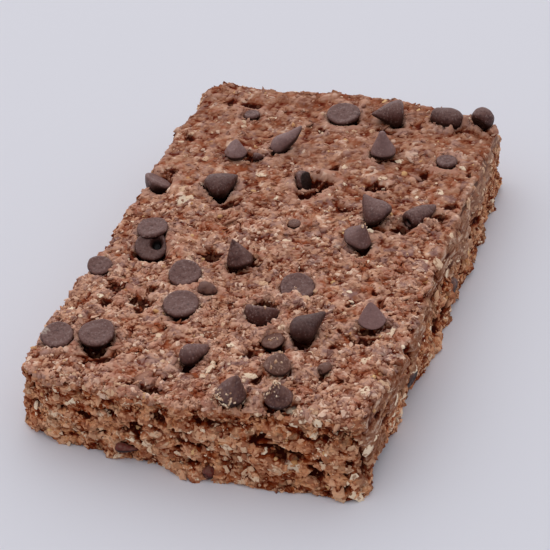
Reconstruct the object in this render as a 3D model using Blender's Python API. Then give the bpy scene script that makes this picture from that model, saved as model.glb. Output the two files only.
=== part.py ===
"""Chocolate-chip oat bar, cut from a pressed slab of crumbly cocoa dough.

One solid dough slab with small chocolate chips pressed into its top and its cut sides.
The slab rests flat on z = 0 with its long side along Y.
Sizes in this file are millimetres; METRE turns them into the metres of the scene.
"""
import math
from itertools import product

import bmesh
import bpy
import numpy as np
from mathutils import Matrix, Vector

METRE = 0.001

# ---- slab ----
HALF_X = 30.0          # half of the short side
HALF_Y = 45.0          # half of the long side
HEIGHT = 14.0
CENTRE_SHIFT = (1.0, -0.4)   # brings the irregular slab's box onto the origin
CORNER_RADIUS = 4.5    # upright corners, seen from above
TOP_RADIUS = 1.6       # softened top edge
FOOT_RADIUS = 0.6      # softened foot
GRID_STEP = 1.85       # spacing of the skin's grid

# Each corner of the hand-cut slab: (side x, side y): (shift at the top, shift at the foot).
CORNER_SHIFTS = {
    (-1, -1): ((0.0, -2.2, -0.5), (-2.2, -0.5, 0.0)),
    (1, -1): ((-0.2, 0.0, 0.2), (0.7, -4.0, 0.0)),
    (1, 1): ((1.0, 2.8, -0.4), (1.2, 3.5, 0.0)),
    (-1, 1): ((-0.1, 2.6, 1.5), (-0.4, 1.0, 0.0)),
}

# Bulge of each side between its corners: (place along the side, outward at the top, outward at the foot).
SIDE_BULGES = {
    "left": ((-45, 0, 0), (-22.5, -0.2, 2.0), (0, -0.5, 0.5), (22.5, 0.4, 0.4), (45, 0, 0)),
    "right": ((-45, 0, 0), (-22.5, 1.3, -0.5), (0, -0.1, 1.2), (22.5, -0.4, 0.9), (45, 0, 0)),
    "front": ((-30, 0, 0), (-15, 1.2, 2.2), (0, 2.4, 2.0), (15, 1.0, 1.8), (30, 0, 0)),
    "back": ((-30, 0, 0), (-15, 0.1, 1.0), (0, 3.9, 2.0), (15, 2.4, 1.5), (30, 0, 0)),
}

# Relief of the dough: (size of the lumps, height on the pressed top, height on the cut sides, seed).
LUMPS = (
    (11.0, 0.35, 0.50, 3),
    (4.6, 0.35, 0.75, 7),
    (2.6, 0.25, 0.55, 11),
)

# Pits and slits: (face, along, across, half length, half width, turn in degrees, depth).
# Along and across are x and y on the top, x and z on the front, y and z on the right side.
HOLLOWS = (
    ("top", -9.4, -8.8, 2.0, 1.5, 0, 1.7),
    ("top", -22.2, -21.7, 1.9, 1.7, 0, 1.4),
    ("top", -16.5, -24.5, 2.2, 1.5, 0, 1.4),
    ("top", 12.7, 18.7, 2.3, 1.3, 0, 1.7),
    ("top", -19.4, 40.4, 2.2, 1.3, 0, 1.4),
    ("top", 1.9, 15.8, 3.2, 1.7, 60, 3.0),
    ("top", -12.2, 7.0, 2.6, 1.6, 45, 2.0),
    ("top", 21.0, 7.6, 1.8, 1.6, 0, 2.6),
    ("top", 26.4, 12.7, 1.5, 1.2, 0, 1.2),
    ("top", 9.4, -30.2, 2.8, 1.9, 0, 1.6),
    ("top", 7.0, -33.2, 1.3, 1.2, 0, 1.6),
    ("top", 23.2, -24.6, 2.6, 1.3, 15, 1.3),
    ("top", -20.4, -11.0, 3.8, 2.6, 0, 2.0),
    ("top", -18.0, -39.6, 3.4, 1.5, 20, 1.4),
    ("top", -26.1, 13.6, 1.9, 1.5, 0, 1.2),
    ("front", 16.8, 6.4, 3.2, 1.1, -5, 1.8),
    ("front", 12.6, 8.8, 2.2, 0.9, 0, 1.2),
    ("front", -8.1, 6.4, 1.6, 1.5, 0, 1.4),
    ("front", -3.8, 9.8, 1.5, 1.0, 0, 1.2),
    ("front", 21.7, 3.3, 1.6, 1.1, 0, 1.2),
    ("front", -17.0, 7.0, 1.8, 1.1, 0, 1.0),
    ("right", -24.7, 10.6, 1.4, 2.8, 0, 1.8),
    ("right", -30.4, 8.2, 1.4, 2.6, 0, 1.8),
    ("right", -26.6, 2.6, 1.5, 1.8, 0, 1.5),
    ("right", -38.0, 1.0, 5.0, 1.8, 0, 1.4),
    ("right", 11.0, 5.0, 1.5, 1.8, 0, 1.4),
    ("right", -6.0, 3.6, 1.8, 1.8, 0, 1.4),
    ("right", 24.0, 7.0, 2.0, 2.0, 0, 1.0),
)

# ---- chocolate chips ----
FIT_GAP = 0.3          # clear gap between a chip and the dough round it
CHIP_SEGMENTS = 12
UPRIGHT_RINGS = (0.0, 0.14, 0.50, 0.80)   # rings of a chip whose side shows, as shares of its length
BASE_UP_RINGS = (0.0, 0.14, 0.50)         # rings of a chip pressed in tip down

# Each chip: centre of its base (x, y, z), tip direction (azimuth, elevation), diameter, length, tip bend.
CHIPS = (
    (-19.5, -36.0, 15.3, 111, -80, 6.3, 4.8, 0.0),
    (-26.0, -37.5, 14.6, 111, -80, 5.8, 4.8, 0.0),
    (-27.3, -17.3, 14.4, 120, -70, 4.6, 4.0, 0.0),
    (-21.9, -5.6, 15.6, 60, -82, 6.0, 4.0, 0.0),
    (-20.8, -9.0, 14.0, 111, -62, 6.2, 4.4, 0.0),
    (-11.5, -16.0, 14.8, 111, -72, 5.8, 4.6, 0.0),
    (-9.0, -24.4, 14.8, 111, -80, 6.4, 4.8, 0.0),
    (-7.5, -19.2, 14.3, 0, -5, 2.4, 3.2, 0.0),
    (-27.1, 10.6, 14.6, -130, -55, 5.8, 4.4, 0.0),
    (-16.5, 9.0, 14.6, 55, 5, 6.2, 6.6, 0.0),
    (-15.8, 21.6, 14.4, 110, 80, 4.8, 4.2, 0.0),
    (-12.4, 21.8, 14.9, 20, 0, 1.8, 2.2, 0.0),
    (-10.1, 26.0, 14.8, 20, 5, 4.2, 6.4, 3.0),
    (-0.1, 41.0, 15.4, 111, -82, 6.8, 4.8, 0.0),
    (11.4, 43.2, 15.2, -160, 5, 6.2, 6.2, 0.0),
    (11.5, 29.2, 14.2, 130, 85, 5.6, 5.2, 0.0),
    (16.9, 45.1, 14.8, -12, 0, 4.6, 6.8, 0.0),
    (26.6, 43.8, 14.8, 70, 25, 5.0, 3.5, 0.0),
    (-2.2, 17.0, 14.1, 30, -8, 4.0, 5.4, 0.0),
    (23.5, 30.3, 14.5, 0, -90, 4.2, 3.4, 0.0),
    (17.2, 8.2, 14.3, 158, 42, 6.0, 5.6, 0.0),
    (14.4, 0.5, 14.0, 20, 66, 6.0, 4.6, 0.0),
    (21.8, 9.0, 14.0, 60, 2, 4.6, 7.0, 0.0),
    (-2.9, -10.6, 13.8, 170, 74, 5.2, 5.4, 0.0),
    (8.7, -14.8, 14.6, 111, -75, 6.2, 4.8, 0.0),
    (4.8, -21.3, 14.2, -90, -50, 5.8, 4.6, 0.0),
    (12.2, -28.5, 14.9, 45, 14, 5.8, 7.0, 0.0),
    (9.0, -28.6, 13.8, 0, -75, 4.2, 3.4, 0.0),
    (24.0, -21.7, 14.0, 110, 73, 5.4, 4.4, 0.0),
    (-3.8, -38.2, 14.3, 40, 8, 4.6, 5.8, -1.6),
    (12.5, -36.6, 14.0, 50, 78, 4.6, 3.6, 0.0),
    (7.4, -45.0, 13.9, 20, 73, 5.2, 5.0, 0.0),
    (15.2, -43.4, 13.7, -100, 84, 5.8, 4.6, 0.0),
    (19.3, -35.2, 14.3, 60, 0, 1.8, 2.4, 0.0),
    (-17.8, 36.6, 15.3, 0, -85, 3.4, 2.6, 0.0),
    (2.0, 3.4, 14.6, 0, -90, 2.6, 2.4, 0.0),
    (31.0, -22.0, 4.4, 170, 10, 4.6, 4.0, 0.0),
    (31.6, 5.2, 3.4, 180, 15, 4.2, 4.0, 0.0),
    (4.3, -50.3, 1.3, 75, 5, 1.9, 3.0, 0.0),
    (-11.8, -49.0, 2.6, 10, 0, 1.8, 3.6, 0.0),
)
STACKED_PAIRS = ((4, 3),)   # the first chip is dented by the second, which lies on it


def clear_scene():
    """Empty the scene of objects, meshes and materials."""
    for obj in list(bpy.data.objects):
        bpy.data.objects.remove(obj, do_unlink=True)
    for store in (bpy.data.meshes, bpy.data.materials):
        for block in list(store):
            store.remove(block)


def make_material(name, colour, roughness):
    """A Principled material of one colour."""
    material = bpy.data.materials.new(name)
    material.use_nodes = True
    shader = material.node_tree.nodes["Principled BSDF"]
    shader.inputs["Base Color"].default_value = (*colour, 1.0)
    shader.inputs["Roughness"].default_value = roughness
    material.diffuse_color = (*colour, 1.0)
    return material


def smoothstep(t):
    t = np.clip(t, 0.0, 1.0)
    return t * t * (3.0 - 2.0 * t)


def lattice_value(cell, seed):
    """A repeatable value from -1 to 1 for each whole-numbered cell."""
    mask = 0xFFFFFFFF
    h = (cell[..., 0] * 73856093 + cell[..., 1] * 19349663 + cell[..., 2] * 83492791 + seed * 2654435) & mask
    h = ((h ^ (h >> 15)) * 2246822519) & mask
    h = ((h ^ (h >> 13)) * 3266489917) & mask
    return (h ^ (h >> 16)) / 2147483647.5 - 1.0


def value_noise(points, size, seed):
    """Smooth noise whose lumps are about size across."""
    scaled = points / size
    cell = np.floor(scaled).astype(np.int64)
    part = smoothstep(scaled - cell)
    total = np.zeros(points.shape[:-1])
    for step in product((0, 1), repeat=3):
        step = np.array(step)
        weight = np.prod(np.where(step == 1, part, 1.0 - part), axis=-1)
        total += weight * lattice_value(cell + step, seed)
    return total


def plan_outline(x, y):
    """The rounded plan outline next to the point (x, y) of the plain rectangle, and its outward direction."""
    near_x = np.clip(x, CORNER_RADIUS - HALF_X, HALF_X - CORNER_RADIUS)
    near_y = np.clip(y, CORNER_RADIUS - HALF_Y, HALF_Y - CORNER_RADIUS)
    away = np.hypot(x - near_x, y - near_y)
    out_x, out_y = (x - near_x) / away, (y - near_y) / away
    return near_x + CORNER_RADIUS * out_x, near_y + CORNER_RADIUS * out_y, out_x, out_y


def top_grid(step):
    """The top's grid: its points, the matching outline points, and the indices of its outer ring."""
    nx, ny = round(2 * HALF_X / step), round(2 * HALF_Y / step)
    x, y = np.meshgrid(np.linspace(-HALF_X, HALF_X, nx + 1), np.linspace(-HALF_Y, HALF_Y, ny + 1))
    share = np.maximum(abs(x) / HALF_X, abs(y) / HALF_Y)
    centre = share < 1e-9
    divide = np.where(centre, 1.0, share)
    edge_x, edge_y, out_x, out_y = plan_outline(np.where(centre, HALF_X, x / divide), y / divide)
    points = np.stack(((edge_x - TOP_RADIUS * out_x) * share,
                       (edge_y - TOP_RADIUS * out_y) * share,
                       np.full_like(x, HEIGHT)), axis=-1)
    index = np.arange(x.size).reshape(ny + 1, nx + 1)
    ring = np.concatenate((index[0, :-1], index[:-1, -1], index[-1, :0:-1], index[:0:-1, 0]))
    outline = [part.reshape(-1)[ring] for part in (edge_x, edge_y, out_x, out_y)]
    return points, index, ring, outline


def side_rows(step):
    """Rows of the side from the top edge down: (inset from the outline, height, upward share of the normal)."""
    rows = []
    for angle in (math.pi / 4, math.pi / 2):
        rows.append((TOP_RADIUS * (1 - math.sin(angle)), HEIGHT - TOP_RADIUS * (1 - math.cos(angle)), math.cos(angle)))
    flat = HEIGHT - TOP_RADIUS - FOOT_RADIUS
    count = round(flat / step)
    rows += [(0.0, HEIGHT - TOP_RADIUS - flat * (k + 1) / count, 0.0) for k in range(count)]
    rows.append((FOOT_RADIUS, 0.0, 0.0))
    return rows


def slab_skin(step):
    """Points, outward normals and faces of the plain rounded slab."""
    grid, index, ring, (edge_x, edge_y, out_x, out_y) = top_grid(step)
    points, normals = [grid.reshape(-1, 3)], [np.tile((0.0, 0.0, 1.0), (index.size, 1))]
    corners = (index[:-1, :-1], index[:-1, 1:], index[1:, 1:], index[1:, :-1])
    faces = np.stack(corners, axis=-1).reshape(-1, 4).tolist()
    above, start = ring, index.size
    for inset, height, up in side_rows(step):
        level = np.sqrt(1.0 - up * up)
        points.append(np.stack((edge_x - inset * out_x, edge_y - inset * out_y, np.full(len(ring), height)), axis=-1))
        normals.append(np.stack((out_x * level, out_y * level, np.full(len(ring), up)), axis=-1))
        below = start + np.arange(len(ring))
        faces += np.stack((above, below, np.roll(below, -1), np.roll(above, -1)), axis=-1).tolist()
        above, start = below, start + len(ring)
    faces.append(above[::-1].tolist())
    return np.concatenate(points), np.concatenate(normals), faces


def hand_cut(points):
    """Move the plain slab's corners and sides to where the knife left them."""
    x, y, z = points.T
    a, b, up = x / HALF_X, y / HALF_Y, z / HEIGHT
    moved = points.copy()
    for (side_x, side_y), (top, foot) in CORNER_SHIFTS.items():
        weight = (1 + side_x * a) / 2 * (1 + side_y * b) / 2
        moved += np.outer(weight * up, top) + np.outer(weight * (1 - up), foot)
    sides = {"left": (y, -a, 0, -1), "right": (y, a, 0, 1), "front": (x, -b, 1, -1), "back": (x, b, 1, 1)}
    for name, (along, across, axis, sign) in sides.items():
        place, top, foot = np.array(SIDE_BULGES[name], float).T
        bulge = np.interp(along, place, top) * up + np.interp(along, place, foot) * (1 - up)
        moved[:, axis] += sign * smoothstep((across - 0.6) / 0.4) * bulge
    return moved


def face_weights(normals):
    """How far each normal belongs to the top, the front and the right side."""
    return {
        "top": smoothstep((normals[:, 2] - 0.3) / 0.6),
        "front": smoothstep((-normals[:, 1] - 0.5) / 0.4),
        "right": smoothstep((normals[:, 0] - 0.5) / 0.4),
    }


def relief(points, normals):
    """Height of the dough's lumps and hollows over the plain skin."""
    weights = face_weights(normals)
    height = np.zeros(len(points))
    for size, on_top, on_side, seed in LUMPS:
        share = on_side + (on_top - on_side) * weights["top"]
        height += share * value_noise(points, size, seed)
    columns = {"top": (0, 1), "front": (0, 2), "right": (1, 2)}
    for face, along, across, half_length, half_width, turn, depth in HOLLOWS:
        first, second = columns[face]
        u, v = points[:, first] - along, points[:, second] - across
        cos, sin = math.cos(math.radians(turn)), math.sin(math.radians(turn))
        reach = ((u * cos + v * sin) / half_length) ** 2 + ((v * cos - u * sin) / half_width) ** 2
        height -= depth * weights[face] * np.exp(-reach ** 1.5)
    return height


def add_mesh(name, points, faces, material):
    """An object made of points in millimetres, shifted onto the origin."""
    mesh = bpy.data.meshes.new(name)
    placed = (np.asarray(points) + (*CENTRE_SHIFT, 0.0)) * METRE
    mesh.from_pydata(placed.tolist(), [], faces)
    mesh.materials.append(material)
    mesh.validate()
    obj = bpy.data.objects.new(name, mesh)
    bpy.context.collection.objects.link(obj)
    return obj


def triangulate(obj):
    """Split every face into triangles, so that each one is flat."""
    work = bmesh.new()
    work.from_mesh(obj.data)
    bmesh.ops.triangulate(work, faces=work.faces[:])
    bmesh.ops.recalc_face_normals(work, faces=work.faces[:])
    work.to_mesh(obj.data)
    work.free()


def make_slab(material):
    """The dough slab with its relief, closed and flat underneath."""
    plain, normals, faces = slab_skin(GRID_STEP)
    cut = hand_cut(plain)
    cut += normals * relief(cut, normals)[:, None]
    slab = add_mesh("bar", cut, faces, material)
    triangulate(slab)
    return slab


def chip_axes(azimuth, elevation):
    """Three directions of a chip, the last one from its base to its tip."""
    az, el = math.radians(azimuth), math.radians(elevation)
    tip = Vector((math.cos(el) * math.cos(az), math.cos(el) * math.sin(az), math.sin(el)))
    level = Vector((-math.sin(az), math.cos(az), 0.0))
    return Matrix((level, tip.cross(level), tip)).transposed()


def chip_radius(share, diameter):
    """Radius of a drop-shaped chip at a share of its length: rounded rim, full belly, drawn-out tip."""
    rim = 1.0 - 0.10 * max(0.0, 1.0 - share / 0.12) ** 2
    return diameter / 2 * (1.0 - share) ** 1.05 * (1.0 + 0.9 * share) * rim


def chip_surface(chip, grow):
    """Points and faces of a chip, every wall moved out by grow."""
    x, y, z, azimuth, elevation, diameter, length, bend = chip
    rings = BASE_UP_RINGS if elevation < -45 else UPRIGHT_RINGS
    axes, base = chip_axes(azimuth, elevation), Vector((x, y, z))
    points = []
    for number, share in enumerate(rings):
        radius = chip_radius(share, diameter) + grow
        along = share * length - (grow if number == 0 else 0.0)
        for k in range(CHIP_SEGMENTS):
            angle = 2 * math.pi * k / CHIP_SEGMENTS
            local = Vector((radius * math.cos(angle), radius * math.sin(angle) + bend * share ** 2, along))
            points.append(base + axes @ local)
    points.append(base + axes @ Vector((0.0, bend, length + grow)))
    faces = [tuple(reversed(range(CHIP_SEGMENTS)))]
    for ring in range(len(rings) - 1):
        for k in range(CHIP_SEGMENTS):
            a, b = ring * CHIP_SEGMENTS + k, ring * CHIP_SEGMENTS + (k + 1) % CHIP_SEGMENTS
            faces.append((a, b, b + CHIP_SEGMENTS, a + CHIP_SEGMENTS))
    last = (len(rings) - 1) * CHIP_SEGMENTS
    for k in range(CHIP_SEGMENTS):
        faces.append((last + k, last + (k + 1) % CHIP_SEGMENTS, len(points) - 1))
    return points, faces


def make_chip(name, chip, grow, material):
    """A closed chip, drawn smooth round its side."""
    obj = add_mesh(name, *chip_surface(chip, grow), material)
    triangulate(obj)
    return obj


def cut_with(obj, cutters):
    """Cut the joined cutters out of obj by one EXACT Boolean on their collection, then drop them."""
    group = bpy.data.collections.new(obj.name + "_cutters")
    for cutter in cutters:
        group.objects.link(cutter)
        cutter.hide_render = True
        cutter.display_type = "WIRE"
    modifier = obj.modifiers.new("pockets", "BOOLEAN")
    modifier.operation = "DIFFERENCE"
    modifier.operand_type = "COLLECTION"
    modifier.collection = group
    modifier.solver = "EXACT"
    modifier.use_self = True
    bpy.context.view_layer.update()
    result = obj.evaluated_get(bpy.context.evaluated_depsgraph_get())
    mesh = bpy.data.meshes.new_from_object(result)
    obj.modifiers.clear()
    obj.data = mesh
    for cutter in cutters:
        bpy.data.objects.remove(cutter, do_unlink=True)
    bpy.data.collections.remove(group)


def main():
    """Build the slab, the chips, and the pockets that the chips sit in."""
    clear_scene()
    dough = make_material("cocoa_oat_dough", (0.25, 0.105, 0.06), 0.85)
    chocolate = make_material("dark_chocolate", (0.06, 0.035, 0.03), 0.45)
    slab = make_slab(dough)
    chips = [make_chip("chip_%02d" % (k + 1), chip, 0.0, chocolate) for k, chip in enumerate(CHIPS)]
    for lower, upper in STACKED_PAIRS:
        cut_with(chips[lower], [make_chip("dent_%02d" % upper, CHIPS[upper], FIT_GAP, chocolate)])
    cut_with(slab, [make_chip("pocket_%02d" % (k + 1), chip, FIT_GAP, dough) for k, chip in enumerate(CHIPS)])


main()
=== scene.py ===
import math
from collections import namedtuple
from itertools import product

import bpy
import numpy as np
from mathutils import Matrix


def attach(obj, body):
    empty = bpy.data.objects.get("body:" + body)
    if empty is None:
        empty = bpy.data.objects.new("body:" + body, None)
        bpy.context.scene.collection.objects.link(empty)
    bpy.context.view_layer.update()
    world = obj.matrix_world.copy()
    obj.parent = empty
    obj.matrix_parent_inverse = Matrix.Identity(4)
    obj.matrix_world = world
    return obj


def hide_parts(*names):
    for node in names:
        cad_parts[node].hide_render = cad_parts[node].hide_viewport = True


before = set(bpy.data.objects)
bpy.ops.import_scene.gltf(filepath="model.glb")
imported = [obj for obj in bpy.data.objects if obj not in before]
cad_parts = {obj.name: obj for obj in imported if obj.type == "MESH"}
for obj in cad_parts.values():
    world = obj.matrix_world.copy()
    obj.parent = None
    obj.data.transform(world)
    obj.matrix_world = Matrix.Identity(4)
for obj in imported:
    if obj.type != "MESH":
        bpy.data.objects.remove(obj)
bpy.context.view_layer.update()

# A hand-cut bar of pressed cocoa and oat dough with chocolate chips: the dough is one skin with loose crumbs, oats
# and nuts strewn on it, and each chip is a piece of its own.
METRE = 0.001   # every size below is in millimetres

# ---- the slab's form, from the same named values as its solid ----
HALF_X = 30.0
HALF_Y = 45.0
HEIGHT = 14.0
CENTRE_SHIFT = (1.0, -0.4, 0.0)
CORNER_RADIUS = 4.5
TOP_RADIUS = 1.6
FOOT_RADIUS = 0.6
SKIN_STEP = 0.34        # spacing of the skin's grid
SOLE_SHARES = (0.8, 0.55, 0.3)          # rings that close the sole, as shares of its outline

# Where the knife left the corners: (side along x, side along y): (shift at the top, shift at the foot).
CORNER_SHIFTS = {
    (-1, -1): ((0.0, -2.2, -0.5), (-2.2, -0.5, 0.0)),
    (1, -1): ((-0.2, 0.0, 0.2), (0.7, -4.0, 0.0)),
    (1, 1): ((1.0, 2.8, -0.4), (1.2, 3.5, 0.0)),
    (-1, 1): ((-0.1, 2.6, 1.5), (-0.4, 1.0, 0.0)),
}
# How far each side bulges: rows of (place along it, bulge at the top, bulge at the foot).
SIDE_BULGES = {
    "left": ((-45, 0, 0), (-22.5, -0.2, 2.0), (0, -0.5, 0.5), (22.5, 0.4, 0.4), (45, 0, 0)),
    "right": ((-45, 0, 0), (-22.5, 1.3, -0.5), (0, -0.1, 1.2), (22.5, -0.4, 0.9), (45, 0, 0)),
    "front": ((-30, 0, 0), (-15, 1.2, 2.2), (0, 2.4, 2.0), (15, 1.0, 1.8), (30, 0, 0)),
    "back": ((-30, 0, 0), (-15, 0.1, 1.0), (0, 3.9, 2.0), (15, 2.4, 1.5), (30, 0, 0)),
}
# Lumps: (size, height on the top, height on the sides, seed).
LUMPS = (
    (11.0, 0.35, 0.50, 3),
    (4.6, 0.35, 0.75, 7),
    (2.6, 0.25, 0.55, 11),
)
# Pits and slits: (face, along, across, half length, half width, turn in degrees, depth).
HOLLOWS = (
    ("top", -9.4, -8.8, 2.0, 1.5, 0, 1.7),
    ("top", -22.2, -21.7, 1.9, 1.7, 0, 1.4),
    ("top", -16.5, -24.5, 2.2, 1.5, 0, 1.4),
    ("top", 12.7, 18.7, 2.3, 1.3, 0, 1.7),
    ("top", -19.4, 40.4, 2.2, 1.3, 0, 1.4),
    ("top", 1.9, 15.8, 3.2, 1.7, 60, 3.0),
    ("top", -12.2, 7.0, 2.6, 1.6, 45, 2.0),
    ("top", 21.0, 7.6, 1.8, 1.6, 0, 2.6),
    ("top", 26.4, 12.7, 1.5, 1.2, 0, 1.2),
    ("top", 9.4, -30.2, 2.8, 1.9, 0, 1.6),
    ("top", 7.0, -33.2, 1.3, 1.2, 0, 1.6),
    ("top", 23.2, -24.6, 2.6, 1.3, 15, 1.3),
    ("top", -20.4, -11.0, 3.8, 2.6, 0, 2.0),
    ("top", -18.0, -39.6, 3.4, 1.5, 20, 1.4),
    ("top", -26.1, 13.6, 1.9, 1.5, 0, 1.2),
    ("front", 16.8, 6.4, 3.2, 1.1, -5, 1.8),
    ("front", 12.6, 8.8, 2.2, 0.9, 0, 1.2),
    ("front", -8.1, 6.4, 1.6, 1.5, 0, 1.4),
    ("front", -3.8, 9.8, 1.5, 1.0, 0, 1.2),
    ("front", 21.7, 3.3, 1.6, 1.1, 0, 1.2),
    ("front", -17.0, 7.0, 1.8, 1.1, 0, 1.0),
    ("right", -24.7, 10.6, 1.4, 2.8, 0, 1.8),
    ("right", -30.4, 8.2, 1.4, 2.6, 0, 1.8),
    ("right", -26.6, 2.6, 1.5, 1.8, 0, 1.5),
    ("right", -38.0, 1.0, 5.0, 1.8, 0, 1.4),
    ("right", 11.0, 5.0, 1.5, 1.8, 0, 1.4),
    ("right", -6.0, 3.6, 1.8, 1.8, 0, 1.4),
    ("right", 24.0, 7.0, 2.0, 2.0, 0, 1.0),
)

# ---- finer relief of the dough, on the skin only ----
# Packed crumbs: (size, step between neighbours on the top, on the sides, crevice on the top, on the sides, seed).
CRUMB_RELIEF = (
    (3.1, 0.22, 0.20, 0.34, 0.30, 24),
    (1.7, 0.22, 0.20, 0.30, 0.32, 21),
    (1.0, 0.18, 0.16, 0.24, 0.26, 22),
)
CREVICE_WIDTH = 0.6
# Rounded lumps with sharp creases: (size, height on the top, height on the cut sides, seed).
BILLOWS = (
    (4.4, 0.30, 0.22, 71),
    (2.1, 0.22, 0.18, 74),
    (1.1, 0.12, 0.12, 77),
)
# Pits and cracks of the crumb: (face, turn): rows of (along, across, half length, half width, depth).
PITS = {
    ("top", 0): (
        (-21.3, -23.8, 0.8, 2.7, 1.1), (-22.2, -26.4, 1.3, 1, 0.8), (-15.6, -21.5, 0.9, 2, 0.8),
        (-11, -28.2, 0.5, 0.7, 0.6), (-25.5, -33.4, 0.9, 1.2, 0.8), (-6.5, -32.3, 0.5, 0.8, 0.7),
        (-9.5, -29.7, 0.7, 0.8, 0.6), (-5.6, -42.1, 1.7, 0.7, 0.9), (9.9, -39, 0.9, 1.5, 0.9),
        (10, -29.6, 2.2, 1.3, 1.2), (19.5, -35.5, 0.8, 2, 0.8), (19.5, -24.2, 0.7, 0.8, 0.7),
        (19.1, -16.4, 0.9, 0.7, 0.9), (23.7, -15.3, 0.6, 1.8, 0.9), (26.4, -18.3, 0.6, 0.8, 0.9),
        (7.7, -8.9, 1.1, 1, 0.8), (21.6, -12.2, 0.9, 0.7, 0.7), (23.2, -36.3, 0.9, 0.7, 0.7),
        (-23.4, 40.2, 1, 1.3, 0.8), (-26.5, 13.4, 0.9, 2, 0.9), (-25.9, 7.6, 1.7, 1, 1), (-13.2, 22, 0.8, 1.3, 1.1),
        (-9.8, 23.3, 1.5, 0.7, 0.8), (-26.8, 25.5, 0.9, 1, 0.7), (-7.5, 1.2, 0.5, 0.8, 0.6),
        (20.4, 25, 0.8, 1.5, 0.9), (28.8, 27.7, 0.7, 1, 0.6), (9.3, 11.4, 1.1, 0.7, 0.5), (3.8, 22.5, 0.7, 0.7, 0.7),
        (22.1, 8.5, 1, 1.5, 1.6), (-2.7, 35.1, 1, 1, 0.8), (9, 38.9, 1.7, 1, 0.9), (12, 28.1, 2.1, 0.7, 0.9),
        (0.9, 39.2, 2.4, 0.8, 0.7), (14.9, -2, 2.4, 0.7, 0.9), (6, -25.2, 2.1, 0.8, 0.9), (-8, -27.6, 2.2, 0.8, 0.9),
        (-18.9, -13.2, 1.9, 0.7, 0.9), (-2.4, -12.3, 1.5, 0.8, 0.8), (16.4, -44.7, 2.2, 0.8, 0.9),
        (7.4, -45.8, 2.1, 0.7, 0.8), (13, -26, 0.7, 1, 0.5), (25, -0.8, 0.7, 0.7, 0.6), (18.9, 11, 0.7, 1.3, 0.7),
        (-7.1, -45.4, 3.4, 0.8, 1.1),
    ),
    ("top", 20): (
        (-16.2, -25.8, 1.5, 1.2, 1.1), (14.5, -29.5, 1.9, 1, 0.9), (19.4, -28, 1, 1, 0.8), (23.8, -22, 2.4, 1.2, 1),
        (27.8, 16.8, 1.5, 0.8, 0.8), (-2.5, -39.3, 1.5, 1, 0.9),
    ),
    ("top", 40): (
        (-1.4, -9.3, 1.4, 1.5, 1.3), (2.6, 17.3, 2.3, 1.35, 3.4),
    ),
    ("top", -10): ((15.1, 14.6, 1.1, 0.8, 0.9),),
    ("top", 10): ((17.4, 6.3, 2.6, 0.7, 0.8),),
    ("top", -30): ((-12.8, -18.3, 1, 1.3, 0.8),),
    ("front", 0): (
        (-20.1, 13.2, 1.2, 0.7, 0.8), (-14.9, 4.9, 0.8, 0.7, 1), (-10.2, 5.9, 1, 0.9, 0.9),
        (-7.8, 4.5, 0.8, 0.7, 0.9), (-4, 7.4, 1.4, 0.5, 0.7), (4.3, 10.4, 2.9, 0.5, 1.2), (21.5, 9.5, 2.1, 0.4, 0.9),
        (22.6, 6.1, 1, 0.7, 1.1), (27.6, 6.1, 0.8, 0.7, 1), (27.3, 4.1, 0.9, 0.5, 1), (27.4, 2.1, 1, 0.5, 1),
        (11.3, 3.5, 0.9, 0.5, 0.7), (-0.5, 5.5, 1, 0.4, 0.7), (-21.3, 7.3, 0.9, 0.4, 0.7),
        (-24.1, 9.2, 0.7, 0.4, 0.7), (-16.2, 7.8, 0.4, 0.9, 0.6), (-27.6, 6.3, 1, 0.9, 0.8),
        (-27.7, 11, 1.2, 2.4, 1.7), (-9.5, 2.5, 2.2, 0.5, 0.8), (13.4, 12.4, 1.9, 0.5, 0.9),
        (16.4, 13.6, 0.9, 0.9, 0.8), (3, 3, 1.7, 0.5, 0.7), (28.1, 9.6, 0.5, 1.1, 0.6),
    ),
    ("front", -15): (
        (15.2, 6.9, 4.6, 0.55, 1.3), (-13.0, 8.6, 2.6, 0.45, 0.9), (2.0, 6.2, 3.4, 0.5, 1.1),
        (22.8, 4.2, 2.6, 0.5, 1.1),
    ),
    ("front", -30): (
        (-0.4, 8.4, 1.7, 0.7, 1.2), (4.7, 6.9, 1, 0.4, 0.7),
    ),
    ("right", 0): (
        (-24.5, 13.0, 1.5, 2.6, 1.5), (-23.6, 10.0, 1.0, 1.6, 1.2), (-33.2, 2.6, 3.3, 0.7, 1.2),
        (23.2, 4.9, 1.6, 0.5, 0.8), (31.8, 6.4, 1.9, 1.1, 0.9), (16.3, 4.5, 1.9, 0.9, 0.8),
        (-39.2, 10.6, 0.9, 0.7, 0.7), (-0.9, 3.5, 2.3, 1.1, 0.7), (-45, 5.4, 0.6, 2.4, 0.5),
    ),
}
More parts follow.
